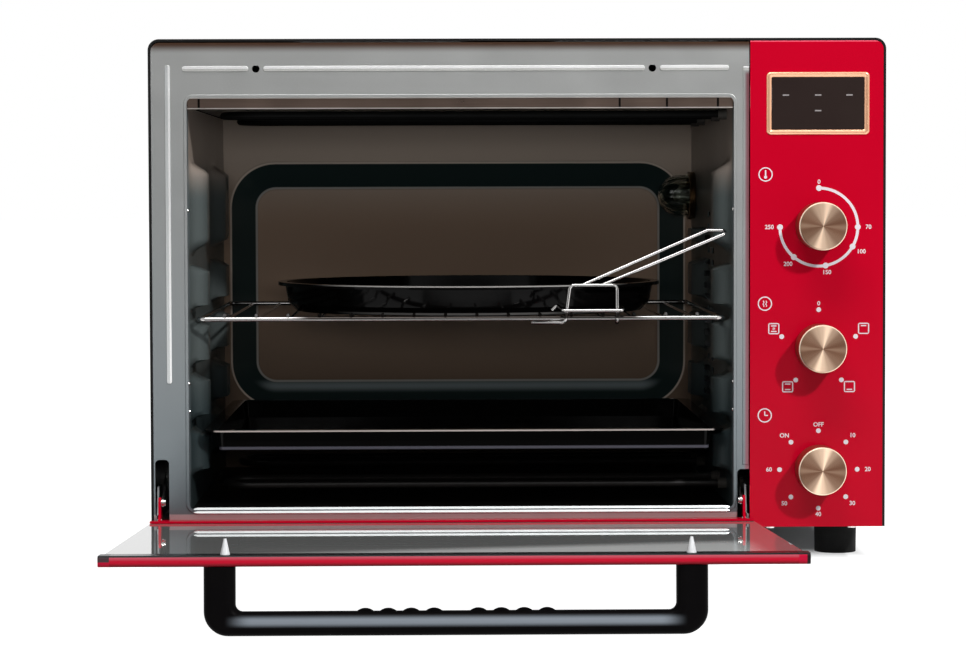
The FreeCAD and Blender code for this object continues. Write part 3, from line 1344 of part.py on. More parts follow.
def make_link_pins():
    """A riveted pin in each ear, with a flat head past the link."""
    pins = []
    for side in ("left", "right"):
        ear_x = hinge_places(side)[1]
        turn = FACING_RIGHT if side == "left" else FACING_LEFT
        shank = cylinder(f"link_pin_shank_{side}", "link_pin_radius",
                         "ear_thickness + 2 * link_gap + link_thickness",
                         at(ear_x, "link_pin_reach", "link_pin_offset", turn))
        head_x = f"{ear_x} {'+' if side == 'left' else '-'} (ear_thickness + 2 * link_gap + link_thickness)"
        head = cylinder(f"link_pin_head_{side}", "2 * link_pin_radius", "link_gap",
                        at(head_x, "link_pin_reach", "link_pin_offset", turn))
        pins.append(fuse(f"link_pin_{side}", [shank, head]))
    return keep(group("link_pins", pins), AT_HINGE)


def make_handle():
    """A bow on two posts: rounded corners, rounded long edges, and finger bumps facing the door."""
    handle = body("door_handle", AT_HINGE)
    low = f"{SCREW_UP} - handle_width / 2"
    profile = sketch(handle, "bow_outline", "XY_Plane", low)
    left = "handle_middle - handle_span / 2"
    right = "handle_middle + handle_span / 2"
    door = f"-({INNER_FACE} + door_thickness)"
    far = f"{door} - handle_reach"
    near = f"{far} + handle_bar"
    outline(profile, [
        (left, door),
        (left, far, "handle_corner"),
        (right, far, "handle_corner"),
        (right, door),
        (f"{right} - handle_post", door),
        (f"{right} - handle_post", near, "handle_inner_corner"),
        (f"{left} + handle_post", near, "handle_inner_corner"),
        (f"{left} + handle_post", door),
    ])
    bow = pad(handle, "bow", profile, "handle_width")
    rounded = fillet(handle, "bow_edges", bow, is_long_handle_edge, "handle_rounding")
    crest = sketch(handle, "bump_outline", "XY_Plane", f"{low} + handle_rounding")
    drop = "bump_radius - bump_height"
    for sign in ("-", "+"):
        first = f"handle_middle {sign} bump_group_offset - bump_pitch * (bump_count - 1) / 2"
        circle(crest, first, f"{near} - ({drop})", "bump_radius")
    bump = pad(handle, "bump", crest, "handle_width - 2 * handle_rounding")
    row(handle, "bumps", [bump], "X_Axis", "bump_pitch * (bump_count - 1)", "bump_count")
    holes = sketch(handle, "post_holes", "XZ_Plane", "door_gap - hinge_reach + door_thickness - seam")
    for sign in ("-", "+"):
        circle(holes, f"handle_screw_middle {sign} {SCREW_OFFSET}", SCREW_UP, "handle_screw_radius")
    pocket(handle, "post_bores", holes, "handle_reach / 2", backwards=True)
    return keep(handle)


def is_long_handle_edge(edge):
    """Edges round the bow's upper and lower faces, apart from those against the door."""
    bounds = edge.BoundBox
    level = bounds.ZMax - bounds.ZMin < value("seam") / 10
    door = -value(f"{INNER_FACE} + door_thickness")
    return level and not bounds.YMin > door - value("seam") / 10


def make_handle_fixings():
    """A screw through the trim into each post, under a soft conical cap."""
    screws = []
    caps = []
    for number, sign in enumerate(("-", "+")):
        across = f"handle_screw_middle {sign} {SCREW_OFFSET}"
        screws.append(cylinder(f"handle_shank_{number}", "handle_screw_radius",
                               "door_thickness + handle_reach / 3",
                               at(across, f"-{INNER_FACE}", SCREW_UP, FACING_FRONT)))
        caps.append(cone(f"cap_cone_{number}", "screw_cap_radius", "screw_cap_tip_radius",
                         "screw_cap_height", at(across, f"-{INNER_FACE}", SCREW_UP, FACING_BACK)))
    keep(group("handle_screws", screws), AT_HINGE)
    return keep(group("screw_caps", caps), AT_HINGE)


# Rack, pan, gripper and tray

CAVITY_MIDDLE = "((opening_left + opening_right) / 2)"
RACK_LEVEL = "(runner_first + 2 * runner_pitch + seat_gap + rack_wire_radius)"


def make_rack():
    """A bent frame of thick wire; thinner wires lie on its front wire and step down to the back one."""
    half = value("rack_half_width")
    depth = value("rack_depth")
    corner = value("rack_corner")
    corners = [Vector(0, 0, 0), Vector(half, 0, 0), Vector(half, depth, 0), Vector(-half, depth, 0),
               Vector(-half, 0, 0), Vector(0, 0, 0)]
    loop = wire_along(rounded_path(corners, corner), value("rack_wire_radius"))
    solids = [loop]
    count = round(value("cross_wire_count"))
    pitch = value("cross_wire_pitch")
    lift = value("rack_wire_radius + cross_wire_radius - seam")
    reach = value("rack_wire_radius")
    thin = value("cross_wire_radius")
    step = value("cross_wire_step")
    dip = value("cross_wire_dip")
    bend = value("cross_wire_bend")
    for number in range(count):
        across = (number - (count - 1) / 2) * pitch
        path = [Vector(across, -reach, lift), Vector(across, step, lift),
                Vector(across, step + dip, lift - dip), Vector(across, depth, lift - dip)]
        solids.append(wire_along(rounded_path(path, bend), thin))
    welded = solids[0].fuse(solids[1:])
    return keep(shape_piece("wire_rack", welded),
                at(CAVITY_MIDDLE, "front_plane_y + rack_front", RACK_LEVEL))


PAN_FLOOR = f"({RACK_LEVEL} + rack_wire_radius + 2 * cross_wire_radius - seam - cross_wire_dip + seat_gap)"


def make_pan():
    """A deep round pan with sloping sides and a rolled rim."""
    pan = body("round_pan", at("pan_x", "front_plane_y + pan_y", PAN_FLOOR))
    section = sketch(pan, "pan_section", "XZ_Plane")
    roll = "(pan_rim_radius - pan_radius) / 2"
    points = [
        ("0", "0"),
        ("pan_bottom_radius - pan_fillet", "0"),
        ("pan_bottom_radius", "pan_fillet"),
        ("pan_radius", f"pan_height - {roll}"),
        ("pan_rim_radius", f"pan_height - {roll}"),
        ("pan_rim_radius", "pan_height"),
        ("pan_radius - pan_wall", "pan_height"),
        ("pan_bottom_radius - pan_wall", "pan_fillet + pan_wall"),
        ("pan_bottom_radius - pan_fillet - pan_wall / 2", "pan_wall"),
        ("0", "pan_wall"),
    ]
    outline(section, points)
    revolve(pan, "pan", section, "Z_Axis")
    return keep(pan)


def make_gripper():
    """A bent wire loop that hooks round the rack's front wire, with a long handle of two wires."""
    radius = value("grip_wire_radius")
    front = value("rack_front - rack_wire_radius - grip_wire_radius - seat_gap")
    low = value(f"{RACK_LEVEL} - rack_wire_radius - grip_wire_radius - seat_gap")
    high = low + value("grip_height")
    weld = 2 * value("grip_wire_radius - seam")
    left = value("grip_left")
    right = value("grip_right")
    foot = front + value("grip_foot")
    loop = [
        Vector(left - value("grip_foot_side"), foot, low),
        Vector(left, front, low),
        Vector(left + value("grip_lean"), front, high),
        Vector(right, front, high),
        Vector(right, front, low),
        Vector(right, foot, low),
    ]
    bar_left = value("grip_bar_left")
    bar_right = value("grip_bar_right")
    bar_up = low + value("grip_bar_rise")
    bar_front = front - weld
    claw = value("grip_claw")
    bar = [
        Vector(bar_left - 2 * claw, bar_front + 2 * claw, bar_up),
        Vector(bar_left - claw, bar_front + 2 * claw, bar_up + claw),
        Vector(bar_left, bar_front, bar_up),
        Vector(bar_right, bar_front, bar_up),
        Vector(bar_right - claw, bar_front + 2 * claw, bar_up + claw),
        Vector(bar_right, bar_front + 2 * claw, bar_up),
    ]
    back = front + weld
    root = value("grip_handle_left")
    tip = value("grip_tip_x")
    tip_up = value("grip_tip_height")
    depth = value("grip_tip_depth")
    handle = [
        Vector(root, back, high),
        Vector(tip - value("grip_tip_length"), back + depth, tip_up),
        Vector(tip, back + depth, tip_up),
        Vector(tip, back, tip_up - depth / 2),
        Vector(root + value("grip_spread"), back, high),
    ]
    tight = value("grip_tight_bend")
    wires = [
        wire_along(rounded_path(loop, value("grip_bend")), radius),
        wire_along(rounded_path(bar, tight), radius),
        wire_along(rounded_path(handle, tight), radius),
    ]
    welded = wires[0].fuse(wires[1:])
    return keep(shape_piece("pan_gripper", welded), FRONT)


def make_tray():
    """A shallow pressed tray with sloping sides and a flat rim that runs on the lowest level."""
    place = at("tray_x", "front_plane_y + tray_front", "runner_first + seat_gap")
    tray = body("baking_tray", place)
    rim = sketch(tray, "tray_rim_outline", "XY_Plane")
    rectangle(rim, "-tray_half_width", "tray_half_width", "0", "tray_depth", "tray_corner")
    pad(tray, "rim_plate", rim, "tray_sheet")
    inner = "tray_half_width - tray_rim"
    bend = "tray_corner - tray_rim"
    well = sketch(tray, "tray_outside", "XY_Plane")
    rectangle(well, f"-({inner})", inner, "tray_rim", "tray_depth - tray_rim", bend)
    pad(tray, "well_block", well, "tray_height - tray_sheet", backwards=True, taper="-tray_taper")
    hollow = sketch(tray, "tray_inside", "XY_Plane", "tray_sheet")
    wall = "tray_sheet"
    rectangle(hollow, f"-({inner} - {wall})", f"{inner} - {wall}", f"tray_rim + {wall}",
              f"tray_depth - tray_rim - {wall}", f"{bend} - {wall}")
    pocket(tray, "well", hollow, "tray_height - tray_sheet", taper="-tray_taper")
    return keep(tray)


# Feet and fixings

def foot_places():
    side = "(casing_width / 2 - foot_inset_side)"
    places = []
    for across in (f"-{side}", side):
        for back in ("foot_inset_front", "casing_depth - foot_inset_back"):
            places.append((across, back))
    return places


def make_feet():
    """Four tapered feet, each recessed from below for its screw."""
    names = ["foot_front_left", "foot_back_left", "foot_front_right", "foot_back_right"]
    screws = []
    for name, (across, back) in zip(names, foot_places()):
        block = cone(f"{name}_block", "foot_bottom_radius", "foot_radius", "foot_height", at("0", "0", "0"))
        hole = cylinder(f"{name}_recess", "foot_recess_radius", "foot_recess_depth + overrun",
                        at("0", "0", "-overrun"))
        keep(cut(name, block, hole), at(across, f"front_plane_y + {back}", "0"))
        head = cylinder(f"{name}_screw_head", "screw_head_radius", "screw_head_height",
                        at(across, back, "foot_recess_depth - screw_head_height"))
        screws.append(head)
    return keep(group("foot_screws", screws), FRONT)


def make_screws():
    """Visible screws of the back, and the two under the control panel."""
    back = "casing_depth - casing_sheet"
    heads = []
    side = "(casing_width / 2 - casing_sheet - 3 * screw_head_radius)"
    number = 0
    for across in (f"-{side}", "0", side):
        for up in ("foot_height + 4 * screw_head_radius", "casing_top - 4 * screw_head_radius"):
            heads.append(cylinder(f"rear_screw_{number}", "screw_head_radius", "screw_head_height",
                                  at(across, back, up, FACING_BACK)))
            number += 1
    keep(group("rear_screws", heads), FRONT)
    under = []
    for number, inset in enumerate(("bezel_width", "display_width - 3 * bezel_width")):
        across = f"display_left + {inset}"
        under.append(cylinder(f"panel_screw_{number}", "screw_head_radius", "screw_head_height",
                              at(across, "2 * screw_head_radius", "foot_height", FACING_DOWN)))
    return keep(group("panel_screws", under), FRONT)


def make_back_fittings():
    """The cord gland in the back, and the supply terminals behind it."""
    place = at("gland_x", "front_plane_y + casing_depth - casing_sheet", "gland_height", FACING_BACK)
    gland = body("cord_gland", place)
    section = sketch(gland, "gland_section", "XZ_Plane")
    outline(section, [
        ("gland_bore_radius", "-2 * gland_flange"),
        ("gland_radius - gland_flange", "-2 * gland_flange"),
        ("gland_radius - gland_flange", "0"),
        ("gland_radius", "0"),
        ("gland_radius", "gland_flange"),
        ("gland_bore_radius + gland_flange / 2", "casing_sheet + gland_reach"),
        ("gland_bore_radius", "casing_sheet + gland_reach"),
    ])
    revolve(gland, "gland", section, "Z_Axis")
    keep(gland)
    low = ("gland_x - terminal_block_width / 2",
           "front_plane_y + casing_depth - 4 * terminal_block_depth",
           "foot_height + frame_sheet")
    block = box("terminal_base", low, "terminal_block_width", "terminal_block_depth", "terminal_block_height")
    wells = []
    back = f"{low[1]} + terminal_block_depth / 2"
    up = f"{low[2]} + terminal_block_height / 2"
    for number in range(3):
        across = f"{low[0]} + terminal_block_width * (2 * {number} + 1) / 6"
        wells.append(cylinder(f"terminal_well_{number}", "terminal_block_width / 12",
                              "terminal_block_height", at(across, back, up)))
    return keep(cut("terminal_block", block, fuse("terminal_wells", wells)))


make_outer_casing()
make_rear_panel()
make_base_plate()
make_front_frame()
make_side_wall("cavity_left_wall", "left")
make_side_wall("cavity_right_wall", "right")
make_ceiling()
make_floor()
make_back_wall()
make_heat_shield()
make_elements()
make_bushings()
make_lamp()
make_fan()
make_control_panel()
make_display()
for number, name in enumerate(("temperature", "mode", "timer")):
    make_knob(name, number)
make_control("thermostat", 0, "control_depth")
make_control("mode_switch", 1, "control_depth")
make_control("timer_mechanism", 2, "control_depth * 1.5")
make_door_glass()
make_top_trim()
make_bottom_trim()
make_hinge("left")
make_hinge("right")
make_link_pins()
make_handle()
make_handle_fixings()
make_rack()
make_pan()
make_gripper()
make_tray()
make_feet()
make_screws()
make_back_fittings()
doc.recompute()

for item in doc.Objects:
    if "Invalid" in item.State or "Error" in item.State:
        raise ValueError(f"{item.Label} failed: {item.State}")
for piece in pieces:
    if piece.Shape.isNull() or not piece.Shape.isValid():
        raise ValueError(f"{piece.Label} has no valid shape")

os.makedirs("parts", exist_ok=True)
for piece in pieces:
    piece.Shape.exportStep(f"parts/{piece.Label}.step")
print(len(pieces), "pieces written")
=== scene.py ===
import math

import bmesh
import bpy
from mathutils import Matrix, Vector


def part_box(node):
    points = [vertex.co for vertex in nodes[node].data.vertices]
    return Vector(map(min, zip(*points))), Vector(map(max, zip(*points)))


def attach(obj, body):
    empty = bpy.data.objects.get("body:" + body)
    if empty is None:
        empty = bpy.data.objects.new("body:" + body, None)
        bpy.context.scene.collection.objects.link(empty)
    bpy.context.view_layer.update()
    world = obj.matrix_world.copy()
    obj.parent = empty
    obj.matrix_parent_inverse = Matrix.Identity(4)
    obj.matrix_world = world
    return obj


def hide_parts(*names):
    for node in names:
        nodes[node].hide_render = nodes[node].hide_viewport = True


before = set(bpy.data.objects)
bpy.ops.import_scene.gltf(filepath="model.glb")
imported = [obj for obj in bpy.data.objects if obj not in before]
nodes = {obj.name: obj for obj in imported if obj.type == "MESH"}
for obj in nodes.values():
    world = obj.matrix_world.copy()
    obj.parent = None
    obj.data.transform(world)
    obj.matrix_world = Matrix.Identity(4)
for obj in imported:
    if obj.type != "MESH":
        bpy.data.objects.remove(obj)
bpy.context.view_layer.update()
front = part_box("outer_casing")[0][1]
scene = bpy.context.scene
scene.view_settings.view_transform = "Standard"


# The studio: a white floor under a white sky, a soft lamp overhead, a weaker one in front, and a
# small hard one high on the right that throws the shadows of the knobs. Behind the camera hangs a
# dark cloth, which polished metal and enamel reflect between their highlights.

camera_side = -0.0639
camera_distance = 2.3623
camera_height = 0.3063
camera_turns = (90 - 2.63, 0.17, -0.86)
camera_data = bpy.data.cameras.new("camera")
camera_data.sensor_width = 36
camera_data.lens = 108.1
camera = bpy.data.objects.new("camera", camera_data)
camera.location = (camera_side, front - camera_distance, camera_height)
camera.rotation_euler = [math.radians(turn) for turn in camera_turns]
scene.collection.objects.link(camera)
scene.camera = camera


def joined(tree, value, socket):
    """Sets a socket to a number, or joins another node's output to it."""
    if isinstance(value, (int, float)):
        socket.default_value = value
    else:
        tree.links.new(value, socket)


def sum_of(tree, operation, first, second=0):
    """The output of one sum on two numbers or outputs."""
    made = tree.nodes.new("ShaderNodeMath")
    made.operation = operation
    joined(tree, first, made.inputs[0])
    joined(tree, second, made.inputs[1])
    return made.outputs[0]


def fade(tree, value, start, stop):
    """0 at the start and 1 at the stop, with a smooth slope between."""
    made = tree.nodes.new("ShaderNodeMapRange")
    made.interpolation_type = "SMOOTHSTEP"
    joined(tree, value, made.inputs["Value"])
    joined(tree, start, made.inputs["From Min"])
    joined(tree, stop, made.inputs["From Max"])
    return made.outputs["Result"]


sky_light = 0.11
world = bpy.data.worlds.new("white_sky")
scene.world = world
world.use_nodes = True
sky = world.node_tree
sky.nodes.clear()
path = sky.nodes.new("ShaderNodeLightPath")
seen = sum_of(sky, "MAXIMUM", path.outputs["Is Camera Ray"], path.outputs["Is Glossy Ray"])
seen = sum_of(sky, "MAXIMUM", seen, path.outputs["Is Transmission Ray"])
sky_level = sky.nodes.new("ShaderNodeMapRange")
sky_level.inputs["To Min"].default_value = sky_light
background = sky.nodes.new("ShaderNodeBackground")
background.inputs["Color"].default_value = (1, 1, 1, 1)
sky_out = sky.nodes.new("ShaderNodeOutputWorld")
joined(sky, seen, sky_level.inputs["Value"])
joined(sky, sky_level.outputs["Result"], background.inputs["Strength"])
joined(sky, background.outputs["Background"], sky_out.inputs["Surface"])


def soft_lamp(name, place, aim, width, depth, power):
    """A rectangular lamp that looks at a point."""
    data = bpy.data.lights.new(name, "AREA")
    data.shape = "RECTANGLE"
    data.size = width
    data.size_y = depth
    data.energy = power
    lamp = bpy.data.objects.new(name, data)
    lamp.location = place
    lamp.rotation_euler = (Vector(aim) - Vector(place)).to_track_quat("-Z", "Y").to_euler()
    scene.collection.objects.link(lamp)
    return lamp


soft_lamp("overhead_lamp", place=(-0.10, -0.75, 1.7), aim=(0, 0, 0.2), width=0.9, depth=0.45, power=18)
front_lamp = soft_lamp("front_lamp", place=(-0.05, -2.2, 0.42), aim=(-0.05, 0.3, 0.24), width=0.5, depth=0.2,
                       power=7.5)
front_lamp.visible_glossy = False
soft_lamp("key_lamp", place=(1.445, -2.14, 1.74), aim=(0.1, 0, 0.25), width=0.16, depth=0.16, power=60)


def studio_plane(name, corners):
    """One flat face of the studio, with a paint of its own."""
    mesh = bpy.data.meshes.new(name)
    mesh.from_pydata(corners, [], [(0, 1, 2, 3)])
    plane = bpy.data.objects.new(name, mesh)
    scene.collection.objects.link(plane)
    paint = bpy.data.materials.new(name)
    paint.use_nodes = True
    mesh.materials.append(paint)
    return plane, paint.node_tree


floor_reach = 30
floor_grey = 0.6
shade_sides = (0.27, 0.31)
shade_front = (front + 0.12, front + 0.03)
shade_back = (front + 0.40, front + 0.46)
floor, paint = studio_plane("floor", [(-floor_reach, -floor_reach, 0), (floor_reach, -floor_reach, 0),
                                      (floor_reach, floor_reach, 0), (-floor_reach, floor_reach, 0)])
paint.nodes.clear()
matt = paint.nodes.new("ShaderNodeBsdfDiffuse")
matt.inputs["Color"].default_value = (floor_grey, floor_grey, floor_grey, 1)
glow = paint.nodes.new("ShaderNodeEmission")
place = paint.nodes.new("ShaderNodeTexCoord")
split = paint.nodes.new("ShaderNodeSeparateXYZ")
joined(paint, place.outputs["Object"], split.inputs[0])
beside = fade(paint, sum_of(paint, "ABSOLUTE", split.outputs["X"]), *shade_sides)
before = fade(paint, split.outputs["Y"], *shade_front)
behind = fade(paint, split.outputs["Y"], *shade_back)
out_of_shade = sum_of(paint, "MAXIMUM", sum_of(paint, "MAXIMUM", before, behind), beside)
path = paint.nodes.new("ShaderNodeLightPath")
seen = sum_of(paint, "MAXIMUM", path.outputs["Is Camera Ray"], path.outputs["Is Glossy Ray"])
joined(paint, sum_of(paint, "MULTIPLY", seen, out_of_shade), glow.inputs["Strength"])
both = paint.nodes.new("ShaderNodeAddShader")
floor_out = paint.nodes.new("ShaderNodeOutputMaterial")
joined(paint, matt.outputs["BSDF"], both.inputs[0])
joined(paint, glow.outputs["Emission"], both.inputs[1])
joined(paint, both.outputs[0], floor_out.inputs["Surface"])

cloth_side = 2.6
cloth_top = 1.25
cloth_y = front - 3.4
cloth_grey = 0.06
cloth, paint = studio_plane("dark_cloth", [(-cloth_side, cloth_y, 0), (cloth_side, cloth_y, 0),
                                           (cloth_side, cloth_y, cloth_top),
                                           (-cloth_side, cloth_y, cloth_top)])
cloth_shader = paint.nodes["Principled BSDF"]
cloth_shader.inputs["Base Color"].default_value = (cloth_grey, cloth_grey, cloth_grey, 1)
cloth_shader.inputs["Roughness"].default_value = 1
cloth.visible_camera = False


# Casing: one steel sheet wrapped over the top and both sides, with a pressed back and base.
# The wrap and the back are stove-painted black with a fine orange peel, the base is bare zinc-plated
# sheet, and crosshead screws hold the back.

def grain_group():
    """Fine grain: a value about 1 that changes over the surface, and a height for bump."""
    group = bpy.data.node_groups.new("fine_grain", "ShaderNodeTree")
    for name, first in (("Scale", 400.0), ("Detail", 3.0), ("Spread", 0.2)):
        socket = group.interface.new_socket(name, in_out="INPUT", socket_type="NodeSocketFloat")
        socket.default_value = first
    for name in ("Value", "Height"):
        group.interface.new_socket(name, in_out="OUTPUT", socket_type="NodeSocketFloat")
    enter = group.nodes.new("NodeGroupInput")
    leave = group.nodes.new("NodeGroupOutput")
    place = group.nodes.new("ShaderNodeTexCoord")
    noise = group.nodes.new("ShaderNodeTexNoise")
    spread = group.nodes.new("ShaderNodeMapRange")
    joined(group, place.outputs["Object"], noise.inputs["Vector"])
    joined(group, enter.outputs["Scale"], noise.inputs["Scale"])
    joined(group, enter.outputs["Detail"], noise.inputs["Detail"])
    joined(group, noise.outputs["Fac"], spread.inputs["Value"])
    joined(group, sum_of(group, "SUBTRACT", 1, enter.outputs["Spread"]), spread.inputs["To Min"])
    joined(group, sum_of(group, "ADD", 1, enter.outputs["Spread"]), spread.inputs["To Max"])
    joined(group, spread.outputs["Result"], leave.inputs["Value"])
    joined(group, noise.outputs["Fac"], leave.inputs["Height"])
    return group


def band_group():
    """A mask that is 1 between two places along an axis and 0 outside, with soft ends."""
    group = bpy.data.node_groups.new("place_band", "ShaderNodeTree")
    axis = group.interface.new_socket("Axis", in_out="INPUT", socket_type="NodeSocketVector")
    axis.default_value = (0, 0, 1)
    for name in ("Low", "High", "Soft"):
        group.interface.new_socket(name, in_out="INPUT", socket_type="NodeSocketFloat")
    group.interface.new_socket("Mask", in_out="OUTPUT", socket_type="NodeSocketFloat")
    enter = group.nodes.new("NodeGroupInput")
    leave = group.nodes.new("NodeGroupOutput")
    place = group.nodes.new("ShaderNodeTexCoord")
    along = group.nodes.new("ShaderNodeVectorMath")
    along.operation = "DOT_PRODUCT"
    joined(group, place.outputs["Object"], along.inputs[0])
    joined(group, enter.outputs["Axis"], along.inputs[1])
    low, high, soft = (enter.outputs[name] for name in ("Low", "High", "Soft"))
    rise = fade(group, along.outputs["Value"], low, sum_of(group, "ADD", low, soft))
    fall = fade(group, along.outputs["Value"], sum_of(group, "SUBTRACT", high, soft), high)
    mask = sum_of(group, "MULTIPLY", rise, sum_of(group, "SUBTRACT", 1, fall))
    joined(group, mask, leave.inputs["Mask"])
    return group


grain = grain_group()
place_band = band_group()
axes = {"X": (1, 0, 0), "Y": (0, 1, 0), "Z": (0, 0, 1)}
far = 9.0


class Finish:
    """A material with one Principled shader, whose sockets get a number or a node's output."""

    def __init__(self, name, **values):
        self.material = bpy.data.materials.new(name)
        self.material.use_nodes = True
        self.tree = self.material.node_tree
        self.shader = self.tree.nodes["Principled BSDF"]
        for socket, value in values.items():
            self.shader.inputs[socket.replace("_", " ")].default_value = value

    def node(self, kind, operation=None, **values):
        """A node with its operation and some of its inputs set by name."""
        made = self.tree.nodes.new(kind)
        if operation:
            made.operation = operation
        for socket, value in values.items():
            made.inputs[socket.replace("_", " ")].default_value = value
        return made

    def join(self, output, socket):
        joined(self.tree, output, socket)

    def feed(self, output, socket):
        """Joins an output to a socket of the shader."""
        self.join(output, self.shader.inputs[socket])

    def grained(self, scale, spread=0.5, detail=3.0):
        """The outputs of the fine grain, with its own scale, spread and detail."""
        made = self.node("ShaderNodeGroup")
        made.node_tree = grain
        made.inputs["Scale"].default_value = scale
        made.inputs["Spread"].default_value = spread
        made.inputs["Detail"].default_value = detail
        return made.outputs

    def rough(self, roughness, scale, spread):
        """Roughness that varies a little over the surface."""
        self.feed(sum_of(self.tree, "MULTIPLY", self.grained(scale, spread)["Value"], roughness), "Roughness")

    def pebbled(self, scale, strength, distance, detail=3.0):
        """Bump from fine grain."""
        bump = self.node("ShaderNodeBump", Strength=strength, Distance=distance)
        self.join(self.grained(scale, detail=detail)["Height"], bump.inputs["Height"])
        self.feed(bump.outputs["Normal"], "Normal")

    def mixed(self, first, second, factor, blend="MIX"):
        """Base colour from two colours or outputs, by a factor that changes over the surface."""
        mix = self.node("ShaderNodeMix")
        mix.data_type = "RGBA"
        mix.blend_type = blend
        for socket, colour in ((mix.inputs[6], first), (mix.inputs[7], second)):
            if isinstance(colour, tuple):
                socket.default_value = (*colour, 1)
            else:
                self.join(colour, socket)
        self.join(factor, mix.inputs[0])
        self.tone = mix.outputs[2]
        self.feed(self.tone, "Base Color")

    def mottled(self, first, second, scale):
        """Base colour that wanders between two colours."""
        self.mixed(first, second, self.grained(scale)["Height"])

    def blended(self, colour, factor):
        """The base colour so far, changed to another colour where the factor is 1."""
        self.mixed(self.tone, colour, factor)

    def band(self, axis, low, high, soft):
        """A mask between two places along an axis, by its letter or a direction."""
        made = self.node("ShaderNodeGroup")
        made.node_tree = place_band
        made.inputs["Axis"].default_value = axes.get(axis, axis)
        made.inputs["Low"].default_value = low
        made.inputs["High"].default_value = high
        made.inputs["Soft"].default_value = soft
        return made.outputs["Mask"]

    def both(self, first, second):
        """A mask that is 1 only where two masks are."""
        return sum_of(self.tree, "MULTIPLY", first, second)


def dress(finish, *names):
    """Puts a finish on CAD nodes."""
    for name in names:
        for slot in nodes[name].material_slots:
            slot.material = finish.material


def mesh_of(name, mesh_maker):
    """A mesh that mesh_maker fills, with its faces outwards."""
    shape = bmesh.new()
    mesh_maker(shape)
    bmesh.ops.recalc_face_normals(shape, faces=shape.faces)
    mesh = bpy.data.meshes.new(name)
    shape.to_mesh(mesh)
    shape.free()
    return mesh


def settled(rough_object):
    """The finished mesh of an object with modifiers or text; the object itself is removed."""
    evaluated = rough_object.evaluated_get(bpy.context.evaluated_depsgraph_get())
    mesh = bpy.data.meshes.new_from_object(evaluated)
    bpy.data.objects.remove(rough_object)
    return mesh


def placed(name, mesh, angle=None):
    """A fixed piece of the oven from a mesh in world coordinates, smooth across edges under the angle."""
    if angle:
        mesh.shade_smooth()
        mesh.set_sharp_from_angle(angle=math.radians(angle))
    made = bpy.data.objects.new(name, mesh)
    scene.collection.objects.link(made)
    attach(made, "oven")
    return made


def piece(name, mesh_maker, finish, angle=None):
    """A fixed piece that mesh_maker fills, with its finish."""
    mesh = mesh_of(name, mesh_maker)
    mesh.materials.append(finish.material)
    return placed(name, mesh, angle)


def wrapped(shape, rings):
    """Faces between closed rings of points, with the last ring joined to the first."""
    for ring, after in zip(rings, rings[1:] + rings[:1]):
        for spot in range(len(ring)):
            ahead = (spot + 1) % len(ring)
            shape.faces.new((ring[spot], ring[ahead], after[ahead], after[spot]))


def turned(shape, profile, origin, axis, count=48, ripple=None):
    """A closed solid of revolution: profile is a loop of (along, radius), axis the unit direction."""
    axis = Vector(axis)
    side = axis.orthogonal().normalized()
    other = axis.cross(side)
    rings = []
    for step in range(count):
        angle = 2 * math.pi * step / count
        ring = []
        for along, radius in profile:
            if ripple:
                radius = ripple(along, radius, angle)
            out = side * math.cos(angle) + other * math.sin(angle)
            ring.append(shape.verts.new(Vector(origin) + axis * along + out * radius))
        rings.append(ring)
    wrapped(shape, rings)
    bmesh.ops.remove_doubles(shape, verts=shape.verts, dist=1e-6)


casing_paint = Finish("casing_black_paint", Specular_IOR_Level=0.12)
casing_paint.mottled((0.005, 0.005, 0.005), (0.011, 0.011, 0.011), 30)
casing_paint.rough(0.34, 25, 0.25)
casing_paint.pebbled(900, 0.12, 0.0004)
dress(casing_paint, "outer_casing", "rear_panel")

zinc = Finish("zinc_sheet", Metallic=0.9)
spangle = zinc.node("ShaderNodeTexVoronoi", Scale=120)
zinc_place = zinc.node("ShaderNodeTexCoord")
zinc.join(zinc_place.outputs["Object"], spangle.inputs["Vector"])
spangle_grey = zinc.node("ShaderNodeSeparateXYZ")
zinc.join(spangle.outputs["Color"], spangle_grey.inputs[0])
zinc.mixed((0.30, 0.31, 0.32), (0.46, 0.47, 0.48), spangle_grey.outputs["X"])
zinc.rough(0.36, 60, 0.25)
zinc.pebbled(300, 0.1, 0.0004)
dress(zinc, "base_plate", "fan_housing", "fan_blade", "hinge_bracket_left", "hinge_bracket_right")

bright = Finish("nickel_plated_steel", Metallic=1.0)
bright.mottled((0.62, 0.61, 0.59), (0.78, 0.77, 0.75), 90)
bright.rough(0.16, 200, 0.4)
dress(bright, "foot_screws", "panel_screws", "handle_screws", "link_pins", "door_link_left",
      "door_link_right", "temperature_shaft", "mode_shaft", "timer_shaft")


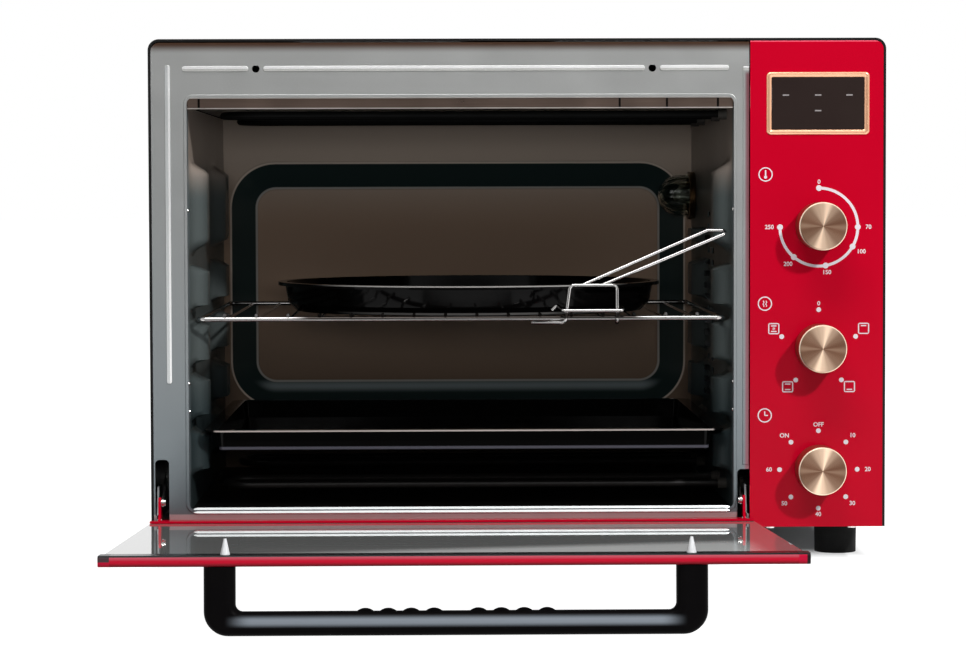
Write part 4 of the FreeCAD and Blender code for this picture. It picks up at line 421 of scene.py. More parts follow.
def scatter_tree():
    """Copies of a model on the points of a mesh, turned to face outwards and each spun at random."""
    tree = bpy.data.node_groups.new("fixings_on_points", "GeometryNodeTree")
    tree.interface.new_socket("Geometry", in_out="INPUT", socket_type="NodeSocketGeometry")
    for name, kind in (("Model", "NodeSocketObject"), ("Turn", "NodeSocketVector"),
                       ("Spin", "NodeSocketVector"), ("Finish", "NodeSocketMaterial")):
        tree.interface.new_socket(name, in_out="INPUT", socket_type=kind)
    tree.interface.new_socket("Geometry", in_out="OUTPUT", socket_type="NodeSocketGeometry")
    made = tree.nodes.new
    join = tree.links.new
    enter = made("NodeGroupInput")
    leave = made("NodeGroupOutput")
    points = made("GeometryNodeMeshToPoints")
    model = made("GeometryNodeObjectInfo")
    chance = made("FunctionNodeRandomValue")
    chance.data_type = "FLOAT_VECTOR"
    chance.inputs["Seed"].default_value = 7
    turn = made("ShaderNodeVectorMath")
    copies = made("GeometryNodeInstanceOnPoints")
    real = made("GeometryNodeRealizeInstances")
    finish = made("GeometryNodeSetMaterial")
    join(enter.outputs["Geometry"], points.inputs["Mesh"])
    join(enter.outputs["Model"], model.inputs["Object"])
    join(enter.outputs["Spin"], chance.inputs["Max"])
    join(enter.outputs["Turn"], turn.inputs[0])
    join(chance.outputs[0], turn.inputs[1])
    join(points.outputs["Points"], copies.inputs["Points"])
    join(model.outputs["Geometry"], copies.inputs["Instance"])
    join(turn.outputs[0], copies.inputs["Rotation"])
    join(copies.outputs["Instances"], real.inputs["Geometry"])
    join(real.outputs["Geometry"], finish.inputs["Geometry"])
    join(enter.outputs["Finish"], finish.inputs["Material"])
    join(finish.outputs["Geometry"], leave.inputs["Geometry"])
    return tree


scatter = scatter_tree()


def scattered(name, places, model, turn, spin, finish):
    """One plain mesh with a copy of the model on each place."""
    mesh = bpy.data.meshes.new(name)
    mesh.from_pydata([tuple(place) for place in places], [], [])
    points = bpy.data.objects.new(name + "_points", mesh)
    scene.collection.objects.link(points)
    modifier = points.modifiers.new("fixings", "NODES")
    modifier.node_group = scatter
    sockets = {item.name: item.identifier for item in scatter.interface.items_tree
               if item.item_type == "SOCKET" and item.in_out == "INPUT"}
    modifier[sockets["Model"]] = model
    modifier[sockets["Turn"]] = turn
    modifier[sockets["Spin"]] = spin
    modifier[sockets["Finish"]] = finish.material
    real = settled(points)
    real.name = name
    return placed(name, real, 35)


def model_of(name, mesh_maker):
    """A model that the scatter copies, made at the origin and not shown itself."""
    return bpy.data.objects.new(name, mesh_of(name, mesh_maker))


screw_radius = 0.0036
screw_height = 0.0022
screw_shares = ((0, 1), (0, 0), (0.55, 0), (0.55, 0.34), (1, 0.42), (0.93, 0.7), (0.6, 0.95))
cross_length = 0.60 * screw_radius
cross_width = 0.20 * screw_radius
cross_level = 0.57 * screw_height
cross_thickness = 0.06 * screw_height


def crosshead(shape):
    """A domed screw head with a cross recess, its underside at the origin and its top along Z."""
    profile = [(screw_height * along, screw_radius * out) for along, out in screw_shares]
    turned(shape, profile, (0, 0, 0), (0, 0, 1), 32)
    middle = Matrix.Translation((0, 0, cross_level))
    for sides in ((cross_length, cross_width), (cross_width, cross_length)):
        size = Matrix.Diagonal((*sides, cross_thickness, 1))
        bmesh.ops.create_cube(shape, size=1, matrix=middle @ size)


def island_middles(node):
    """The middle of each separate solid of a CAD node."""
    mesh = bmesh.new()
    mesh.from_mesh(nodes[node].data)
    mesh.transform(nodes[node].matrix_world)
    left = set(mesh.verts)
    middles = []
    while left:
        group = [left.pop()]
        for vert in group:
            for edge in vert.link_edges:
                other = edge.other_vert(vert)
                if other in left:
                    left.discard(other)
                    group.append(other)
        low = Vector([min(vert.co[axis] for vert in group) for axis in range(3)])
        high = Vector([max(vert.co[axis] for vert in group) for axis in range(3)])
        middles.append((low + high) / 2)
    mesh.free()
    return sorted(middles, key=tuple)


screw_model = model_of("crosshead_screw", crosshead)
rear_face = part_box("rear_screws")[0][1]
rear_places = [(spot.x, rear_face, spot.z) for spot in island_middles("rear_screws")]
rear_heads = scattered("rear_crosshead_screws", rear_places, screw_model, (math.radians(-90), 0, 0),
                       (0, math.tau, 0), bright)
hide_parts("rear_screws")


# Feet: four tapered feet moulded in black rubber, one under each corner of the base.
# Each is held by a screw up through its recess.

rubber = Finish("foot_rubber", Specular_IOR_Level=0.12)
rubber.mottled((0.006, 0.006, 0.006), (0.014, 0.014, 0.0135), 120)
rubber.rough(0.72, 80, 0.15)
rubber.pebbled(1400, 0.25, 0.0003)
dress(rubber, "foot_front_left", "foot_back_left", "foot_front_right", "foot_back_right")


# Front frame: pressed steel round the opening, with a rolled bead and stamped ribs.
# It is painted satin silver, with fine flake in the lacquer.

silver = Finish("frame_silver_lacquer", Metallic=0.7)
frame_painted_light_from = 0.02
frame_painted_light_rise = 0.42
frame_painted_trim_reflection = (0.030, 0.0447)
top_shade = 0.4190
# Painted light: darker and bluer towards the bottom, lighter towards the top.
silver.mixed((0.178, 0.206, 0.222), (0.425, 0.430, 0.423), silver.band("Z", frame_painted_light_from, far, frame_painted_light_rise))
# Painted reflection of the red trim: a pink band along the strip under the lip.
silver.blended((0.52, 0.46, 0.46), silver.band("Z", *frame_painted_trim_reflection, 0.001))
# Painted shade along the top edge.
silver.blended((0.080, 0.040, 0.024), silver.band("Z", top_shade, far, 0.0080))

rib_drop = 0.0211
rib_gap = 0.0145
# Painted highlights: a pale edge and a white line along the rib above the opening and the one beside it.
raised = silver.band("Y", -far, front - 0.0002, 0.0004)
rib_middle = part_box("front_frame")[1][2] - rib_drop
rib_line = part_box("cavity_left_wall")[0][0] - rib_gap
for axis, low, high, tint in (("Z", rib_middle - 0.0026, rib_middle + 0.0030, (0.62, 0.62, 0.60)),
                              ("Z", rib_middle - 0.0004, rib_middle + 0.0026, (1.0, 1.0, 1.0)),
                              ("X", rib_line - 0.0026, rib_line + 0.0028, (0.62, 0.64, 0.64)),
                              ("X", rib_line + 0.0002, rib_line + 0.0026, (1.0, 1.0, 1.0))):
    silver.blended(tint, silver.both(raised, silver.band(axis, low, high, 0.0007)))

end_width = 0.0045
end_top = 0.405
frame_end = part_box("front_frame")[1][0]
end_shade = silver.both(silver.band("X", frame_end - end_width, far, 0.003),
                        silver.band("Z", -far, end_top, 0.004))
silver.blended((0.26, 0.10, 0.12), end_shade)

flake_scale = 1800
flake_strength = 0.3
flake = silver.grained(flake_scale, 0.5, 1.0)["Value"]
silver.mixed(silver.tone, flake, flake_strength, "MULTIPLY")
silver.rough(0.30, 40, 0.15)
silver.pebbled(flake_scale, 0.05, 0.0002, detail=1.0)
dress(silver, "front_frame")

# The bead is the frame's own silver lacquer, given a much paler colour as a painted highlight.
lip_highlight_silver = Finish("lip_silver_lacquer", Metallic=0.6)
lip_highlight_silver.mottled((0.72, 0.76, 0.76), (0.84, 0.88, 0.88), 60)
lip_highlight_silver.rough(0.22, 80, 0.2)

wall_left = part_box("cavity_left_wall")[0][0] + 0.001
wall_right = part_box("cavity_right_wall")[1][0] - 0.001
lip_low = 0.0442
lip_high = 0.0497
lip_reach = 0.0024
lip_gap = 0.0025
lip_end = 0.004
lip_end_shares = ((0, 0.25), (0.3, 0.7), (1, 1))


def rolled_lip(shape):
    """A lip along the lower side of the opening, steep below and sloped above, with rounded ends."""
    middle = (lip_low + lip_high) / 2
    half = (lip_high - lip_low) / 2
    steps = 10
    places = [(wall_left + lip_gap + lip_end * along, shrink) for along, shrink in lip_end_shares]
    places += [(wall_right - lip_gap - lip_end * along, shrink) for along, shrink in lip_end_shares[::-1]]
    rings = []
    for x, shrink in places:
        ring = []
        for step in range(steps + 1):
            rise = math.sin(math.pi * (step / steps - 0.5))
            share = (1 + rise) / 2
            reach = lip_reach * shrink * min(1, 6 * share) * (1 - share)
            ring.append(shape.verts.new((x, front - reach, middle + half * shrink * rise)))
        rings.append(ring)
    for ring, after in zip(rings, rings[1:]):
        for step in range(steps):
            shape.faces.new((ring[step], ring[step + 1], after[step + 1], after[step]))
        shape.faces.new((ring[steps], ring[0], after[0], after[steps]))
    shape.faces.new(rings[0])
    shape.faces.new(rings[-1][::-1])


piece("rolled_lip", rolled_lip, lip_highlight_silver, 35)

rivet_radius = 0.0017
rivet_height = 0.0011
rivet_shares = ((0, 1), (0, 0), (1, 0), (0.9, 0.5), (0.5, 0.88))
rivet_setback = 0.006
rivet_heights = (0.292, 0.151, 0.128)


def rivet(shape):
    """A low domed rivet head, its underside at the origin and its top along Z."""
    profile = [(rivet_height * along, rivet_radius * out) for along, out in rivet_shares]
    turned(shape, profile, (0, 0, 0), (0, 0, 1), 20)


rivet_model = model_of("rivet", rivet)
for name, x, turn in (("left_wall_rivets", wall_left, 90), ("right_wall_rivets", wall_right, -90)):
    scattered(name, [(x, front + rivet_setback, z) for z in rivet_heights], rivet_model,
              (0, math.radians(turn), 0), (0, 0, 0), bright)


# Cavity: five pressed sheets in dark grey-brown glossy enamel, the side walls stamped with runners
# and the back with a large dish.

def cavity_finish(name, tint, first, second, level):
    """Glossy enamel whose sheen takes the tint, over a dark base between two colours."""
    made = Finish(name, Specular_IOR_Level=level, Specular_Tint=(*tint, 1))
    made.mottled(first, second, 9)
    made.rough(0.32, 14, 0.2)
    made.pebbled(55, 0.05, 0.001, detail=1.0)
    return made


wall_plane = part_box("cavity_back_wall")[0][1]
dish_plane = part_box("cavity_back_wall")[1][1] - 0.001
dish_low = 0.099
dish_shine = 0.030
back_painted_light_from = 0.27
dark_below = 0.22
brown_enamel = cavity_finish("brown_cavity_enamel", (1.0, 0.86, 0.74), (0.300, 0.205, 0.145),
                             (0.335, 0.230, 0.165), 0.25)
# Painted light: the back wall is paler near the top, which lies in the frame's shadow, and darker towards the
# bottom.
brown_enamel.blended((0.40, 0.33, 0.275), brown_enamel.band("Z", back_painted_light_from, far, 0.07))
brown_enamel.blended((0.155, 0.108, 0.078), brown_enamel.band("Z", -far, dark_below, 0.12))
# Painted shade on the dish's sloping sides, with a bluish painted reflection on the lower slope.
slope = brown_enamel.band("Y", wall_plane + 0.0008, dish_plane - 0.0004, 0.0008)
brown_enamel.blended((0.016, 0.028, 0.028), slope)
low_slope = brown_enamel.both(slope, brown_enamel.band("Z", -far, dish_low + dish_shine, 0.012))
deep_half = brown_enamel.band("Y", (wall_plane + dish_plane) / 2, far, 0.006)
brown_enamel.blended((0.46, 0.54, 0.56), brown_enamel.both(low_slope, deep_half))
# Painted highlights along the dish's outer and inner edges.
for near, deep, tint in ((wall_plane + 0.0002, wall_plane + 0.0016, (0.62, 0.53, 0.45)),
                         (dish_plane - 0.0018, dish_plane - 0.0002, (0.40, 0.385, 0.355))):
    brown_enamel.blended(tint, brown_enamel.band("Y", near, deep, 0.0006))
dress(brown_enamel, "cavity_back_wall")

low_shade = 0.18
wall_painted_reflection_top = 0.30
mouth_depth = 0.016
grey_enamel = cavity_finish("grey_cavity_enamel", (0.80, 1.0, 1.0), (0.052, 0.061, 0.060),
                            (0.079, 0.093, 0.092), 0.5)
# Painted shade towards the bottom of the side walls.
grey_enamel.blended((0.022, 0.031, 0.033), grey_enamel.band("Z", -far, low_shade, 0.06))
# Painted reflection of the brown back wall on the upper side walls.
grey_enamel.blended((0.32, 0.26, 0.22), grey_enamel.band("Z", wall_painted_reflection_top, far, 0.04))
# Painted light: the side walls are lighter just inside the opening.
grey_enamel.blended((0.13, 0.155, 0.165), grey_enamel.band("Y", -far, front + mouth_depth, 0.008))

black_cavity = cavity_finish("black_cavity_enamel", (1.0, 0.95, 0.9), (0.0020, 0.0020, 0.0018),
                             (0.0035, 0.0035, 0.0032), 0.3)
dress(black_cavity, "cavity_ceiling", "cavity_floor")

runner_reach = 0.0138
runner_first = 0.1107
runner_pitch = 0.0452
runner_groove = 0.009
runner_tall = 0.078
runner_spans = ((0.012, 0.074), (0.222, 0.298))
runner_ramp = 0.022
runner_rows = 5
slot_columns = ((0.171, 0.193), (0.207, 0.229))
slot_first = 0.126
slot_pitch = 0.0105
slot_height = 0.005
slot_rows = 16


def eased(value, start, stop):
    """0 before start, 1 after stop, and a smooth slope between."""
    share = min(1, max(0, (value - start) / (stop - start)))
    return share * share * (3 - 2 * share)


def runner_bulge(back, up, rear_too):
    """How far the wall is stamped inwards at a place, for the runners and the tall shape over them."""
    along = 0
    for first, last in runner_spans:
        rise = eased(back, first, first + runner_ramp)
        along = max(along, rise * (1 - eased(back, last - runner_ramp, last)))
    level = 0
    for number in range(runner_rows):
        low = runner_first + runner_pitch * (number - 1) + runner_groove
        high = runner_first + runner_pitch * number
        slope = 0.004
        if number == runner_rows - 1:
            high = low + runner_tall
            slope = 0.012
        level = max(level, eased(up, low, low + slope) * (1 - eased(up, high - slope, high)))
    if up > runner_first + runner_pitch * 3.6 and back > 0.15 and not rear_too:
        return 0
    return along * level


def wall_lines(low, high, step, extra):
    """Grid lines at an even step, with extra ones at the edges of openings."""
    count = round((high - low) / step)
    lines = [low + (high - low) * number / count for number in range(count + 1)]
    lines = [line for line in lines if all(abs(line - other) > step * 0.3 for other in extra)]
    return sorted(lines + list(extra))


def stamped_wall(name, node, sign, slotted):
    """A side wall as one pressed sheet; sign is 1 where the cavity lies towards +X."""
    low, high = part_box(node)
    face = low[0] if sign > 0 else high[0]
    slots = []
    if slotted:
        for first, last in slot_columns:
            for number in range(slot_rows):
                start = slot_first + slot_pitch * number
                slots.append((first, last, start, start + slot_height))
    backs = wall_lines(low[1] - front, high[1] - front, 0.0036, {edge for slot in slots for edge in slot[:2]})
    ups = wall_lines(low[2], high[2], 0.0030, {edge for slot in slots for edge in slot[2:]})
    shape = bmesh.new()
    grid = []
    for back in backs:
        column = []
        for up in ups:
            bulge = runner_reach * runner_bulge(back, up, not slotted)
            column.append(shape.verts.new((face + sign * (0.001 + bulge), front + back, up)))
        grid.append(column)
    for i in range(len(backs) - 1):
        for j in range(len(ups) - 1):
            back = (backs[i] + backs[i + 1]) / 2
            up = (ups[j] + ups[j + 1]) / 2
            if any(first < back < last and start < up < stop for first, last, start, stop in slots):
                continue
            shape.faces.new((grid[i][j], grid[i + 1][j], grid[i + 1][j + 1], grid[i][j + 1]))
    mesh = bpy.data.meshes.new(name)
    bmesh.ops.recalc_face_normals(shape, faces=shape.faces)
    inner = sum(face.normal.x for face in shape.faces) * sign
    if inner < 0:
        bmesh.ops.reverse_faces(shape, faces=shape.faces)
    shape.to_mesh(mesh)
    shape.free()
    mesh.materials.append(grey_enamel.material)
    sheet = bpy.data.objects.new(name + "_sheet", mesh)
    scene.collection.objects.link(sheet)
    thick = sheet.modifiers.new("thickness", "SOLIDIFY")
    thick.thickness = 0.001
    thick.offset = -1
    made = placed(name, settled(sheet), 50)
    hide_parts(node)


stamped_wall("stamped_left_wall", "cavity_left_wall", 1, False)
stamped_wall("stamped_right_wall", "cavity_right_wall", -1, True)

seam_places = (-0.259, 0.083, 0.1215, 0.163)
seam_width = 0.0009
shield_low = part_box("upper_heat_shield")[0][2]
shield_fold_highlights = ((shield_low, shield_low + 0.0012), (0.3826, 0.3838))
shield_steel = Finish("shield_steel", Metallic=1.0)
shield_place = shield_steel.node("ShaderNodeTexCoord")
stretch = shield_steel.node("ShaderNodeMapping", Scale=(4, 400, 400))
brushing = shield_steel.node("ShaderNodeTexNoise", Scale=6, Detail=4)
shield_steel.join(shield_place.outputs["Object"], stretch.inputs["Vector"])
shield_steel.join(stretch.outputs["Vector"], brushing.inputs["Vector"])
shield_steel.mixed((0.13, 0.092, 0.075), (0.22, 0.16, 0.13), brushing.outputs["Fac"])
shield_split = shield_steel.node("ShaderNodeSeparateXYZ")
shield_steel.join(shield_place.outputs["Object"], shield_split.inputs[0])
for seam_place in seam_places:
    seam = shield_steel.node("ShaderNodeMath", "COMPARE")
    shield_steel.join(shield_split.outputs["X"], seam.inputs[0])
    seam.inputs[1].default_value = seam_place
    seam.inputs[2].default_value = seam_width
    shield_steel.blended((0.012, 0.010, 0.009), seam.outputs[0])
# Painted highlights: two thin pale lines along the shield, one at its lower edge.
for low, high in shield_fold_highlights:
    shield_steel.blended((0.75, 0.70, 0.66), shield_steel.band("Z", low, high, 0.0004))
shield_steel.rough(0.3, 40, 0.2)
dress(shield_steel, "upper_heat_shield")


# Heating elements: four hairpins of steel-sheathed tube, two low and two high, darkened by heat.
# Ceramic bushings carry their ends out through the cavity's sheets.

tube_steel = Finish("element_sheath", Metallic=0.3)
tube_steel.mottled((0.006, 0.0055, 0.0055), (0.016, 0.014, 0.013), 35)
tube_steel.rough(0.38, 90, 0.25)
tube_steel.pebbled(700, 0.15, 0.0003)
dress(tube_steel, "lower_front_element", "lower_rear_element")
# Painted shade: the upper elements get a darker, duller copy of the sheath, as they lie in the dark under the
# ceiling.
shaded_sheath = Finish("shaded_element_sheath", Specular_IOR_Level=0.06)
shaded_sheath.mottled((0.003, 0.003, 0.003), (0.006, 0.006, 0.006), 35)
shaded_sheath.rough(0.6, 90, 0.2)
dress(shaded_sheath, "upper_front_element", "upper_rear_element")

steatite = Finish("steatite", Specular_IOR_Level=0.35)
steatite.mottled((0.030, 0.027, 0.024), (0.055, 0.050, 0.044), 140)
steatite.rough(0.6, 90, 0.2)
steatite.pebbled(900, 0.2, 0.0003)
dress(steatite, "element_bushings", "lamp_socket")


# Lamp: a ribbed dome of clear heat-resistant glass, screwed to the right wall by a threaded brass ring.
# A small frosted bulb in a ceramic socket stands behind it.

dome_glass = Finish("lamp_dome_glass", Transmission_Weight=1.0, IOR=1.47)
dome_glass.mottled((0.78, 0.84, 0.76), (0.86, 0.90, 0.84), 60)
dome_glass.rough(0.05, 60, 0.3)

dome_low, dome_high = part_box("lamp_glass")
dome_y = (dome_low[1] + dome_high[1]) / 2
dome_z = (dome_low[2] + dome_high[2]) / 2
dome_radius = (dome_high[2] - dome_low[2]) / 2
dome_length = dome_high[0] - dome_low[0]
dome_wall = 0.0018
dome_ribs = 14
dome_rib_depth = 0.045


def dome_profile(radius, length, start):
    """Half of a dome's outline, from its foot to its tip: straight, then an ellipse."""
    straight = length * 0.3
    points = [(start, radius)]
    for step in range(13):
        angle = math.pi / 2 * step / 12
        points.append((start + straight + (length - straight) * math.sin(angle), radius * math.cos(angle)))
    return points


def lamp_dome(shape):
    """A ribbed dome of even thickness that points out of the right wall."""
    outside = dome_profile(dome_radius, dome_length, 0)
    inside = dome_profile(dome_radius - dome_wall, dome_length - dome_wall, 0)

    def ripple(along, radius, angle):
        return radius * (1 - dome_rib_depth * (0.5 + 0.5 * math.cos(dome_ribs * angle)))

    turned(shape, outside + inside[::-1], (dome_high[0], dome_y, dome_z), (-1, 0, 0), 112, ripple)


dome = piece("ribbed_lamp_dome", lamp_dome, dome_glass, 60)
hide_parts("lamp_glass")

brass = Finish("lamp_ring_brass", Metallic=1.0)
brass.mottled((0.22, 0.155, 0.10), (0.36, 0.27, 0.18), 120)
brass.rough(0.34, 150, 0.25)
ring_low, ring_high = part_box("lamp_ring")
ring_radius = (ring_high[2] - ring_low[2]) / 2
ring_length = ring_high[0] - ring_low[0]
ring_threads = 4
thread_depth = 0.0009
ring_gap = 0.0004


def threaded_ring(shape):
    """The ring round the dome, with a coarse thread on its outside."""
    pitch = ring_length / ring_threads
    profile = [(0, dome_radius + ring_gap), (0, ring_radius - thread_depth)]
    for thread in range(ring_threads):
        profile.append((pitch * (thread + 0.5), ring_radius))
        profile.append((pitch * (thread + 1), ring_radius - thread_depth))
    profile.append((ring_length, dome_radius + ring_gap))
    turned(shape, profile, (ring_high[0], dome_y, dome_z), (-1, 0, 0), 64)


ring = piece("threaded_lamp_ring", threaded_ring, brass, 50)
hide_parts("lamp_ring")

bulb_glass = Finish("bulb_frost", Transmission_Weight=0.4, IOR=1.45)
bulb_glass.mottled((0.16, 0.17, 0.14), (0.22, 0.23, 0.19), 90)
bulb_glass.rough(0.4, 90, 0.2)
dress(bulb_glass, "lamp_bulb")


# Fan motor: a stack of punched steel sheets, fixed behind the slots of the right wall.
# It drives the blade in its zinc-plated housing.

motor_steel = Finish("motor_laminations", Metallic=0.9)
sheets = motor_steel.node("ShaderNodeTexWave", Scale=260)
motor_steel.mixed((0.16, 0.16, 0.16), (0.34, 0.34, 0.33), sheets.outputs["Fac"])
motor_steel.rough(0.42, 90, 0.2)
dress(motor_steel, "fan_motor")


# Control panel: a steel plate in glossy red lacquer, printed in white round three spun metal knobs.
# Two screws hold it beside the opening. Over the knobs a rose-gold frame holds a smoked window.

red = Finish("red_lacquer", Specular_IOR_Level=0.07)
red.mottled((0.415, 0.0007, 0.0135), (0.455, 0.0009, 0.0155), 12)
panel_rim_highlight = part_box("control_panel")[1][2] - 0.0011
# Painted highlight: a pink line along the panel's top edge.
red.blended((0.80, 0.10, 0.16), red.band("Z", panel_rim_highlight, far, 0.0006))
red.rough(0.20, 30, 0.2)
red.pebbled(650, 0.03, 0.0003, detail=1.0)
dress(red, "control_panel")

gold = Finish("rose_gold_anodised", Metallic=0.5)
gold.mottled((0.74, 0.38, 0.22), (0.84, 0.47, 0.29), 90)
gold.rough(0.20, 120, 0.2)

bezel_width = 0.0041
bezel_corner = 0.0034
bezel_corner_inside = 0.0008
bezel_shares = ((0, 1), (0, 0.75), (0.06, 0.40), (0.18, 0.10), (0.36, 0), (0.60, 0.06), (0.82, 0.36),
                (1, 0.78), (1, 1))


def rounded_bezel(shape):
    """A frame whose face rounds over at the outer edge and slopes down to the window."""
    low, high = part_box("display_bezel")
    corner_steps = 6
    rings = []
    for across_share, depth_share in bezel_shares:
        inset = bezel_width * across_share
        radius = bezel_corner + (bezel_corner_inside - bezel_corner) * across_share
        y = low[1] + (high[1] - low[1]) * depth_share
        ring = []
        for turn, side, rise in ((0, 1, 1), (1, -1, 1), (2, -1, -1), (3, 1, -1)):
            x = high[0] if side > 0 else low[0]
            z = high[2] if rise > 0 else low[2]
            for step in range(corner_steps + 1):
                angle = math.pi / 2 * (turn + step / corner_steps)
                ring.append(shape.verts.new((x - side * (inset + radius) + radius * math.cos(angle), y,
                                             z - rise * (inset + radius) + radius * math.sin(angle))))
        rings.append(ring)
    wrapped(shape, rings)


bezel = piece("rounded_bezel", rounded_bezel, gold, 40)
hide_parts("display_bezel")


# Painted light and shade: tones of the wedges round each knob's face, by angle from the top.
painted_wedge_tones = ((0.0, 0.70), (0.04, 1.0), (0.09, 0.30), (0.15, 0.10), (0.22, 0.05), (0.255, 0.16),
               (0.29, 0.05), (0.38, 0.12), (0.45, 0.45), (0.49, 0.60), (0.535, 1.0), (0.585, 0.35),
               (0.65, 0.12), (0.72, 0.04), (0.76, 0.14), (0.80, 0.05), (0.88, 0.12), (0.95, 0.40),
               (1.0, 0.70))
ring_tone = 0.06
knob_face = 0.0012


def spun_metal(name, node):
    """Face turned on a lathe: fine rings, and wedges of painted light and shade that open from the middle."""
    low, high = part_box(node)
    made = Finish(name, Metallic=0.65, Anisotropic=0.5, Specular_IOR_Level=0.1)
    tangent = made.node("ShaderNodeTangent")
    tangent.direction_type = "RADIAL"
    tangent.axis = "Y"
    made.feed(tangent.outputs["Tangent"], "Tangent")
    place = made.node("ShaderNodeTexCoord")
    shift = made.node("ShaderNodeVectorMath", "SUBTRACT")
    shift.inputs[1].default_value = ((low[0] + high[0]) / 2, 0, (low[2] + high[2]) / 2)
    made.join(place.outputs["Object"], shift.inputs[0])
    split = made.node("ShaderNodeSeparateXYZ")
    made.join(shift.outputs[0], split.inputs[0])
    share = made.node("ShaderNodeMapRange", From_Min=-math.pi, From_Max=math.pi)
    made.join(sum_of(made.tree, "ARCTAN2", split.outputs["X"], split.outputs["Z"]), share.inputs["Value"])
    ramp = made.node("ShaderNodeValToRGB")
    ramp.color_ramp.interpolation = "EASE"
    made.join(share.outputs["Result"], ramp.inputs["Fac"])
    points = ramp.color_ramp.elements
    for spot, tone in painted_wedge_tones:
        point = points[-1] if spot == 1 else points[0] if spot == 0 else points.new(spot)
        point.color = (tone, tone, tone, 1)
    rings = made.node("ShaderNodeTexWave", Scale=900)
    rings.wave_type = "RINGS"
    rings.rings_direction = "Y"
    made.join(shift.outputs[0], rings.inputs["Vector"])
    lit = made.node("ShaderNodeMath", "MULTIPLY_ADD")
    made.join(rings.outputs["Fac"], lit.inputs[0])
    lit.inputs[1].default_value = ring_tone
    made.join(ramp.outputs["Color"], lit.inputs[2])
    made.mixed((0.075, 0.018, 0.004), (1.0, 0.73, 0.53), lit.outputs[0])
    flat = made.node("ShaderNodeVectorMath", "MULTIPLY")
    flat.inputs[1].default_value = (1, 0, 1)
    made.join(shift.outputs[0], flat.inputs[0])
    reach = made.node("ShaderNodeVectorMath", "LENGTH")
    made.join(flat.outputs[0], reach.inputs[0])
    radius = (high[0] - low[0]) / 2
    # Painted highlight: a pale ring round the edge of the face.
    rim = made.node("ShaderNodeMapRange", From_Min=radius - 0.0010, From_Max=radius - 0.0003)
    made.join(reach.outputs["Value"], rim.inputs["Value"])
    made.blended((1.0, 0.80, 0.62), rim.outputs["Result"])
    # Painted shade and a painted reflection of the red panel on the knob's side.
    made.blended((0.30, 0.075, 0.045), made.band("Y", low[1] + knob_face, far, 0.0004))
    made.rough(0.34, 200, 0.05)
    return made


for name in ("temperature_knob", "mode_knob", "timer_knob"):
    dress(spun_metal("spun_rose_gold_" + name, name), name)

ink = Finish("white_print", Specular_IOR_Level=0.3)
ink.mottled((0.60, 0.55, 0.59), (0.68, 0.63, 0.67), 500)
ink.rough(0.5, 300, 0.2)

panel_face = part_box("control_panel")[0][1]
ink_thickness = 0.0001
dot_thickness = 0.00016
line_width = 0.0009
dial_drop = 0.0010


def slab(shape, outline, back_y, thickness):
    """A thin plate whose back lies at back_y: outline is a loop of (x, z)."""
    back = [shape.verts.new((x, back_y, z)) for x, z in outline]
    face = [shape.verts.new((x, back_y - thickness, z)) for x, z in outline]
    shape.faces.new(face)
    shape.faces.new(back[::-1])
    for spot in range(len(outline)):
        ahead = (spot + 1) % len(outline)
        shape.faces.new((face[spot], back[spot], back[ahead], face[ahead]))


def knob_middle(node):
    low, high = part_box(node)
    return (low[0] + high[0]) / 2, (low[2] + high[2]) / 2 - dial_drop


def around(middle, radius, degrees):
    """A place at an angle clockwise from the top of a dial."""
    angle = math.radians(degrees)
    return middle[0] + radius * math.sin(angle), middle[1] + radius * math.cos(angle)


def dot(shape, middle, radius, sides=28):
    outline = [around(middle, radius, -360 * step / sides) for step in range(sides)]
    slab(shape, outline, panel_face, dot_thickness)


def arc(shape, middle, radius, width, first, last):
    """A curved line from one angle to another."""
    steps = max(6, round(abs(last - first) / 5))
    angles = [first + (last - first) * step / steps for step in range(steps + 1)]
    outside = [around(middle, radius + width / 2, angle) for angle in angles]
    inside = [around(middle, radius - width / 2, angle) for angle in angles]
    for step in range(steps):
        slab(shape, [inside[step], inside[step + 1], outside[step + 1], outside[step]], panel_face,
             ink_thickness)


def bar(shape, start, stop, width):
    """A straight line between two places."""
    along = Vector((stop[0] - start[0], stop[1] - start[1])).normalized()
    side = Vector((-along.y, along.x)) * width / 2
    slab(shape, [(start[0] + side.x, start[1] + side.y), (start[0] - side.x, start[1] - side.y),
                 (stop[0] - side.x, stop[1] - side.y), (stop[0] + side.x, stop[1] + side.y)], panel_face,
         ink_thickness)


def frame_square(shape, middle, half):
    """A square outline with cut corners."""
    cut = half * 0.86
    corners = [(-half, cut), (-cut, half), (cut, half), (half, cut), (half, -cut), (cut, -half),
               (-cut, -half), (-half, -cut)]
    for start, stop in zip(corners, corners[1:] + corners[:1]):
        bar(shape, (middle[0] + start[0], middle[1] + start[1]), (middle[0] + stop[0], middle[1] + stop[1]),
            line_width)


figure_size = 0.0049
figure_weight = 0.019


def words(shape, text, middle, size):
    """Figures or ON and OFF as thin plates, centred on a place."""
    curve = bpy.data.curves.new("words", "FONT")
    curve.body = text
    curve.size = size
    curve.align_x = "CENTER"
    curve.align_y = "CENTER"
    curve.offset = size * figure_weight
    curve.extrude = ink_thickness / 2
    curve.resolution_u = 3
    holder = bpy.data.objects.new("words", curve)
    scene.collection.objects.link(holder)
    mesh = settled(holder)
    mesh.transform(Matrix.Rotation(math.radians(90), 4, "X"))
    mesh.transform(Matrix.Translation((middle[0], panel_face - ink_thickness / 2, middle[1])))
    shape.from_mesh(mesh)
    bpy.data.meshes.remove(mesh)


scale_radius = 0.0318
label_radius = 0.0368
label_spread = 0.0037
dot_radius = 0.00195
scale_dot_radius = 0.0024
scale_width = 0.0023
square_radius = 0.0402
square_half = 0.0041
icon_radius = 0.0054


